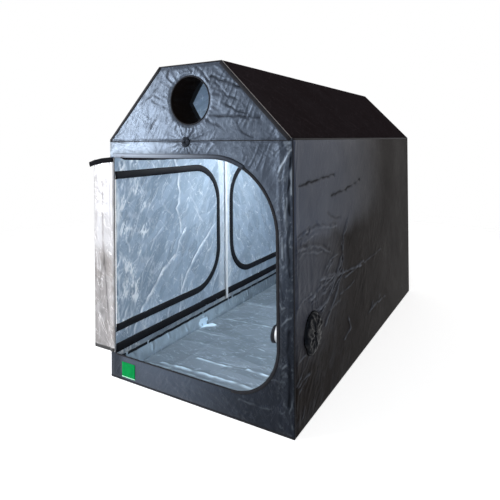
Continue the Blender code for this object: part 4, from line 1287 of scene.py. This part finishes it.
def sleeves():
    def creasedMouth(turn):
        a, b = math.cos(turn), math.sin(turn)
        pull = 1 - sleeveSizes["creaseShare"] + sleeveSizes["creaseShare"] / (abs(a) + abs(b))
        return sleeveSizes["halfWidth"] * a * pull, sleeveSizes["halfHeight"] * b * pull

    def roundMouth(turn):
        return lowSleeveSizes["mouth"] * math.cos(turn), lowSleeveSizes["mouth"] * math.sin(turn)

    def behindFront(aside, up, inward):
        return Vector((roofVent["u"] + aside, -tent["halfLength"] + sleeveSeat + inward, roofVent["v"] + up))

    def behindRight(aside, up, inward):
        return Vector((tent["halfWidth"] - sleeveSeat - inward, lowVent["u"] + aside, lowVent["v"] + up))

    nodes, looks = ("roof_vent_sleeve", "front_wall"), (["cover", "cover", "tape", "tape"], "sock_black")
    openSleeve("roofVentSleeve", roofVent, sleeveSizes, creasedMouth, behindFront, *nodes, *looks)
    nodes, looks = ("low_vent_sleeve", "right_wall"), (["doorLining", "cover", "tape", "tape"], "door_lining")
    openSleeve("lowVentSleeve", lowVent, lowSleeveSizes, roundMouth, behindRight, *nodes, *looks)


sockSizes = {
    "bulge": 16 * mm,
    "hem": 1 * mm,
    "pleats": 2.6,
    "pleatDepth": 20 * mm,
    "knot": 0.13,
    "lit": 0.94,
    "uneven": 0.1,
}
portSizes = {
    "bulge": 8 * mm,
    "hem": 2 * mm,
    "pleats": 2.6,
    "pleatDepth": 6 * mm,
    "knot": 0.3,
    "lit": 0.8,
    "uneven": 0.04,
}
discStandOff = 1.2 * mm


def gatheredDisc(name, vent, sizes, place, solid, seed, fabric, rings=30, steps=108):
    bm = bmesh.new()
    uv = bm.loops.layers.uv.new("cloth")
    bm.verts.layers.float.new("glint")
    radius = vent["radius"] + sizes["hem"]
    bmesh.ops.create_circle(bm, segments=steps, radius=radius)
    edges = bm.edges[:]
    spots = {vert: (math.atan2(vert.co.y, vert.co.x), 1.0) for vert in bm.verts}
    for ring in range(1, rings + 1):
        share = 1 - ring / rings * (1 - sizes["knot"] / 4)
        edges, grown = grownRow(bm, edges)
        for vert in grown:
            turn = math.atan2(vert.co.y, vert.co.x)
            vert.co = (radius * share * math.cos(turn), radius * share * math.sin(turn), 0)
            spots[vert] = (turn, share)
    bmesh.ops.contextual_create(bm, geom=edges)
    carried = bm.verts.layers.float["glint"]
    for face in bm.faces:
        for loop in face.loops:
            loop[uv].uv = loop.vert.co.xy
    for vert, (turn, share) in spots.items():
        inner = smooth((1 - share) / 0.12)
        dome = math.sqrt(max(0.0, 1 - share**2)) * sizes["bulge"]
        a, b = math.cos(turn), math.sin(turn)
        pleat = noise.noise(Vector((a, b, 0)) * sizes["pleats"] + Vector((0, 0, seed + share)))
        fold = 1 - min(1.0, abs(pleat) * 2.2)
        fold = 0.6 * fold + 0.7 * facets(a * share, b * share, 0.33, seed, (20, 75, 130, 165))
        knotDip = math.exp(-((share / sizes["knot"]) ** 2)) * sizes["bulge"] * 0.5
        high = dome + inner * fold * sizes["pleatDepth"] * (0.35 + 0.65 * share) - knotDip
        # painted highlights on the lit folds, black at the hem, darker at the knot
        lit = smooth((fold - sizes["lit"]) / 0.1) * (0.5 + 1.2 * swell(a * share, b * share, 0.3, seed))
        vert[carried] = inner * lit - (1 - inner) - smooth((sizes["knot"] - share) / 0.1)
        reach = 1 + sizes["uneven"] * (noise.noise(Vector((a * 1.7, b * 1.7, seed + 2))) + max(0.0, -b) ** 8)
        vert.co = place(radius * share * a * reach, radius * share * b * reach, high)
    bm.normal_update()
    disc = link(name, bm, fabric)
    thicken(disc, thinCloth)
    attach(disc, "tent")
    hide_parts(solid)


def closures():
    def onRight(aside, up, out):
        return Vector((tent["halfWidth"] + discStandOff + out, lowVent["u"] + aside, lowVent["v"] + up))

    def onFront(aside, up, out):
        return frontAt(port["u"] + aside, port["v"] + up, discStandOff + out)

    gatheredDisc("lowVentSock", lowVent, sockSizes, onRight, "low_vent_sock", 91.0, "sock")
    gatheredDisc("cablePort", port, portSizes, onFront, "cable_port", 95.0, "flapCloth", rings=14, steps=54)


sleeves()
closures()
print("vents and port gathered")

tapeSizes = {"zip": 32 * mm, "loop": 48 * mm, "hem": 18 * mm, "keeper": 54 * mm, "keeperHeight": 0.148}


def insideOf(place):  # the inner face of the same panel
    def insideAt(u, v, lift=0.0):
        return place(u, v, -tent["cloth"] - lift)

    return insideAt


insideFront, insideLeft, insideRight = (insideOf(place) for place in (frontAt, leftAt, rightAt))


def doorTapes():
    path = spaced(doorwayPath(doorway, 22), tapeStep)
    sill = [(u, v) for u, v in path if v < 0.3 and u < 0.4]
    curve = [(u, v) for u, v in path if u > 0.14 and (v > 0.16 or u > 0.25)]
    top = [(u, v) for u, v in path if v > 1.2 and u < 0.34]
    hang = [(u, v) for u, v in path if v > 1.29 and u < 0.1]

    def topGlint(u, v):  # painted highlight: the flap is palest at the left
        return 0.9 * smooth((0.3 - u) / 0.75)

    def tapered(u, v, lift=0.0):  # the tape narrows towards both ends of the doorway's top
        share = smooth((0.1 - u) / 0.5) * (0.2 + 0.8 * smooth((u + 0.52) / 0.04))
        return frontAt(u, doorway["high"] + (v - doorway["high"]) * share, lift)

    band("doorPipingSill", sill, bandRows(9 * mm, 3, -3 * mm), frontAt, crown=2 * mm)
    band("doorPipingCurve", curve, bandRows(17 * mm, 4, -7 * mm), frontAt, crown=3 * mm)
    looks = {"lift": 1 * mm, "crown": 5 * mm, "glint": topGlint}
    band("doorFlap", top, bandRows(24 * mm, 6, -11 * mm), frontAt, "flapCloth", **looks)
    band("doorTapeTop", hang, bandRows(14 * mm, 3, 7 * mm), tapered, "darkTape", lift=0.2 * mm)
    band("doorTapeInside", path, bandRows(tapeSizes["zip"], 4, -tapeSizes["zip"] / 2), insideFront)
    for end, sign in (("Front", 1), ("Rear", -1)):
        loop = [(sign * u, v) for u, v in spaced(doorwayPath(sideDoorway, 18), tapeStep)]
        rows = bandRows(tapeSizes["loop"], 4, -sign * 6 * mm)
        band(f"sideZipInside{end}", loop, rows, insideLeft, crown=2 * mm)
        band(f"sideZipOutside{end}", loop, bandRows(22 * mm, 4, -sign * 11 * mm), leftAt, crown=3 * mm)


def keeperStrip():
    reach, v = wallBox[1][1] - 10 * mm, tapeSizes["keeperHeight"]
    path = spaced([(-reach, v), (reach, v)], tapeStep)
    for name, place in (("keeperLeft", insideLeft), ("keeperRight", insideRight)):
        band(name, path, bandRows(tapeSizes["keeper"]), place, crown=1.5 * mm)


def trayHem():
    reachU, reachV = halfTrayU + trayHeight, halfTrayV + trayHeight
    for name, start, end, inner in (
        ("trayHemLeft", (-reachU, -halfTrayV), (-reachU, halfTrayV), 1),
        ("trayHemRight", (reachU, -halfTrayV), (reachU, halfTrayV), -1),
        ("trayHemFront", (-halfTrayU, -reachV), (halfTrayU, -reachV), -1),
        ("trayHemRear", (-halfTrayU, reachV), (halfTrayU, reachV), 1),
    ):

        def hemAt(u, v, lift=0.0, alongSide=start[0] == end[0]):
            point = trayAt(u, v)
            toward = Vector((-point.x, 0, 0)) if alongSide else Vector((0, -point.y, 0))
            return point + toward.normalized() * lift

        rows = bandRows(tapeSizes["hem"], 3, -inner * tapeSizes["hem"] / 2)
        band(name, spaced([start, end], tapeStep), rows, hemAt, slot="tray_sheet")


def edgeBindings():
    half, reach = tent["halfWidth"], wallBox[1][1]
    gable = spaced([(half, tent["eave"]), (tent["ridgeHalf"], tent["peak"])], edgeStep)
    band("gableBandRight", gable, bandRows(22 * mm, 4, 11 * mm), frontAt, crown=2 * mm)
    # painted highlight: a thin pale line along the roof's front edge
    band("roofPiping", gable, bandRows(2.4 * mm, 2, 0.5 * mm), frontAt, "piping", lift=2 * mm, crown=2 * mm)
    left = [(-u, v) for u, v in gable]
    band("gableBandLeft", left, bandRows(20 * mm, 3, -10 * mm), frontAt, crown=3 * mm)
    top = spaced([(tent["ridgeHalf"], tent["peak"]), (-tent["ridgeHalf"], tent["peak"])], edgeStep)
    band("gableBandTop", top, bandRows(7 * mm, 3, 3.5 * mm), frontAt, crown=2 * mm)
    hemLines = (("Foot", tent["foot"] + 9 * mm), ("Eave", tent["eave"] - 5 * mm))
    for side, place in (("Right", rightAt), ("Left", leftAt)):
        for end, u in (("Front", -reach + 4 * mm), ("Rear", reach - 4 * mm)):
            onto = place
            if side + end == "LeftRear":  # sewn round the corner, out of the way of the opened door
                u, onto = 4 * mm - half, rearAt
            post = spaced([(u, tent["foot"] + 2 * mm), (u, tent["eave"] - 2 * mm)], edgeStep)
            band(f"cornerSeam{side}{end}", post, bandRows(7 * mm, 3), onto, crown=1.5 * mm)
        for line, v in hemLines:
            run = spaced([(-reach, v), (reach, v)], edgeStep)
            band(f"hem{side}{line}", run, bandRows(9 * mm, 3), place, crown=1 * mm)
    for line, v in hemLines:
        run = spaced([(-half, v), (half, v)], edgeStep)
        band(f"hemRear{line}", run, bandRows(9 * mm, 3), rearAt, crown=1 * mm)
    seam = spaced([(-half, frontCloth["seam"]), (half, frontCloth["seam"])], tapeStep)
    band("eaveSeamFront", seam, bandRows(5 * mm, 2), frontAt)
    foot = spaced([(-half, 8 * mm), (half, 8 * mm)], edgeStep)
    band("hemFrontFoot", foot, bandRows(7 * mm, 3), frontAt, crown=1 * mm)
    around = {"slot": "sock_black", "closed": True}
    rim = arcPoints(roofVent["u"], roofVent["v"], roofVent["radius"], 0, 360, 72)[:-1]
    band("roofVentHem", rim, bandRows(7 * mm, 4, 1 * mm), frontAt, crown=1.5 * mm, **around)
    rim = arcPoints(lowVent["u"], lowVent["v"], lowVent["radius"], 0, 360, 60)[:-1]
    band("lowVentHem", rim, bandRows(7 * mm), rightAt, crown=1 * mm, **around)


pullSizes = {"length": 24 * mm, "width": 7 * mm, "hole": 2.2 * mm, "thick": 1.2 * mm, "rounded": 0.3 * mm}


def sliderPulls():  # a flat tab with an eye on each slider; the front door's lies along its zip
    for sliderName, body in (
        ("front_zip_slider", "front_zip"),
        ("side_zip_slider_front", "side_zip_front"),
        ("side_zip_slider_rear", "side_zip_rear"),
    ):
        low, high = (Vector(corner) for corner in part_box(sliderName))
        centre = (low + high) / 2
        facesFront = high.x - low.x > high.y - low.y
        bm = bmesh.new()
        half, length = pullSizes["width"] / 2, pullSizes["length"]
        outline = arcPoints(0, 0, half, 0, 180, 8) + arcPoints(0, -length + half, half * 0.8, 180, 360, 8)
        eye = arcPoints(0, 0, pullSizes["hole"], 0, 360, 17)[:-1]
        outer = [bm.verts.new((u, v, 0)) for u, v in outline]
        inner = [bm.verts.new((u, v, 0)) for u, v in eye]
        ring = [bm.edges.new(pair) for loop in (outer, inner) for pair in zip(loop, loop[1:] + loop[:1])]
        bmesh.ops.triangle_fill(bm, edges=ring, use_beauty=True)
        for vert in bm.verts:
            u, v = vert.co.x, vert.co.y - half
            out = 1.2 * mm + 1.5 * mm * smooth(-v / length)
            if facesFront:
                vert.co = (centre.x - v - 2 * mm, low.y - out, centre.z + u)
            else:
                vert.co = (low.x - out, centre.y + u, centre.z + v + 2 * mm)
        pull = link(f"pull{body.title().replace('_', '')}", bm, "metal")
        thicken(pull, pullSizes["thick"], name="plate")
        edge = pull.modifiers.new("edge", "BEVEL")
        edge.width = pullSizes["rounded"]
        edge.segments = 2
        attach(pull, body)


labelSizes = {"left": -0.508, "right": -0.406, "low": 0.024, "high": 0.11, "edge": 5 * mm, "edgeUp": 3 * mm}


def label():
    sizes = labelSizes
    for name, v, width, count, lift in (
        ("label", (sizes["low"] + sizes["high"]) / 2, sizes["high"] - sizes["low"], 8, 1 * mm),
        ("labelEdge", sizes["low"] + sizes["edgeUp"], sizes["edge"], 2, 1.8 * mm),
    ):
        path = spaced([(sizes["left"], v), (sizes["right"], v)], 0.01)
        band(name, path, bandRows(width, count), frontAt, name, lift=lift)


doorTapes()
keeperStrip()
trayHem()
edgeBindings()
sliderPulls()
label()
print("tapes and bindings sewn on")


# The frame's own nodes keep their shape and get their finish
nodeFinishes = {"tube_white": "tube", "connector_black": "connector", "zip_metal": "metal"}
for subpart in frame["record"]["subparts"]:
    fabric = nodeFinishes.get(subpart["material_slot"])
    if fabric:
        for holder in frame["nodes"][subpart["node"]].material_slots:
            holder.material = finishes[fabric]
print("frame finished")

shot = {
    "place": (1.5424, -3.1313, 1.3944),
    "azimuth": 30.011,
    "elevation": -0.316,
    "roll": -0.483,
    "focalPixels": 461.42,
    "centre": (259.66, 137.0),
    "picture": 500,
}
light = {"sky": 0.26, "floor": 0.68, "floorRadius": 6.0, "fadeRadius": 2.2}
lamps = (  # each with its place, aim, size, power and colour
    ("keyLight", (-3.2, -3.8, 1.55), (-0.3, -1.2, 1.2), 1.5, 175, (0.88, 0.92, 1)),
    ("fillLight", (1.6, -5.2, 2.6), (0, 0, 0.6), 2.2, 55, (0.95, 0.97, 1)),
    ("topLight", (0.5, 0.5, 4.5), (0, 0, 0), 3.0, 15, (1, 1, 1)),
    ("backLight", (2.7, 3.6, 2.0), (0.6, -0.6, 1.1), 2.0, 12, (1, 0.92, 0.88)),
    ("insideLight", (0.05, 0.0, 1.62), (0, 0.0, 0), 0.3, 27, (0.9, 0.96, 1)),
)


def camera():
    data = bpy.data.cameras.new("camera")
    data.sensor_width = 36
    data.lens = shot["focalPixels"] / shot["picture"] * data.sensor_width
    data.shift_x = 0.5 - shot["centre"][0] / shot["picture"]
    data.shift_y = shot["centre"][1] / shot["picture"] - 0.5
    viewer = bpy.data.objects.new("camera", data)
    turn = Matrix.Rotation(math.radians(shot["azimuth"]), 4, "Z")
    tilt = Matrix.Rotation(math.radians(90 - shot["elevation"]), 4, "X")
    roll = Matrix.Rotation(math.radians(shot["roll"]), 4, "Z")
    viewer.matrix_world = Matrix.Translation(shot["place"]) @ turn @ tilt @ roll
    bpy.context.scene.collection.objects.link(viewer)
    bpy.context.scene.camera = viewer


def softLight(name, place, aim, size, power, colour):
    data = bpy.data.lights.new(name, "AREA")
    data.size = size
    data.energy = power
    data.color = colour
    lamp = bpy.data.objects.new(name, data)
    lamp.location = place
    lamp.rotation_euler = (Vector(aim) - Vector(place)).to_track_quat("-Z", "Y").to_euler()
    bpy.context.scene.collection.objects.link(lamp)


def seenDirectly(made):  # 1 for rays from the camera and those that glossy and clear faces send on
    rays = node(made, "ShaderNodeLightPath").outputs
    return strongest(made, [rays[f"Is {kind} Ray"] for kind in ("Camera", "Glossy", "Transmission")])


def studio():
    ground = bpy.data.meshes.new("ground")
    bm = bmesh.new()
    bmesh.ops.create_circle(bm, cap_ends=True, segments=64, radius=light["floorRadius"])
    bm.to_mesh(ground)
    bm.free()
    stage = bpy.data.objects.new("ground", ground)
    bpy.context.scene.collection.objects.link(stage)
    made = material("paleFloor", (0.92, 0.92, 0.92), 0.9)
    ground.materials.append(made)
    nodes, links = made.node_tree.nodes, made.node_tree.links
    shader = nodes["Principled BSDF"]
    shader.inputs["Emission Color"].default_value = (1, 1, 1, 1)
    plug(made, "Emission Strength", spread(made, seenDirectly(made), 0.0, 1.0, 0.0, light["floor"]))
    away = node(made, "ShaderNodeVectorMath", {0: coordinates(made)}, operation="LENGTH").outputs["Value"]
    inputs = {"Value": away, "From Min": light["fadeRadius"], "From Max": light["floorRadius"]}
    fade = node(made, "ShaderNodeMapRange", inputs, interpolation_type="SMOOTHSTEP").outputs[0]
    clear = node(made, "ShaderNodeBsdfTransparent").outputs[0]
    mix = node(made, "ShaderNodeMixShader", {"Fac": fade, 1: shader.outputs[0], 2: clear})
    links.new(mix.outputs[0], nodes["Material Output"].inputs["Surface"])
    world = bpy.data.worlds.new("studio")
    world.use_nodes = True
    bpy.context.scene.world = world
    back = world.node_tree.nodes["Background"]
    strength = spread(world, seenDirectly(world), 0.0, 1.0, light["sky"], 1.0)
    world.node_tree.links.new(strength, back.inputs["Strength"])
    back.inputs["Color"].default_value = (1, 1, 1, 1)


camera()
studio()
for lamp in lamps:
    softLight(*lamp)
bpy.context.scene.view_settings.view_transform = "Standard"
print("studio lit")
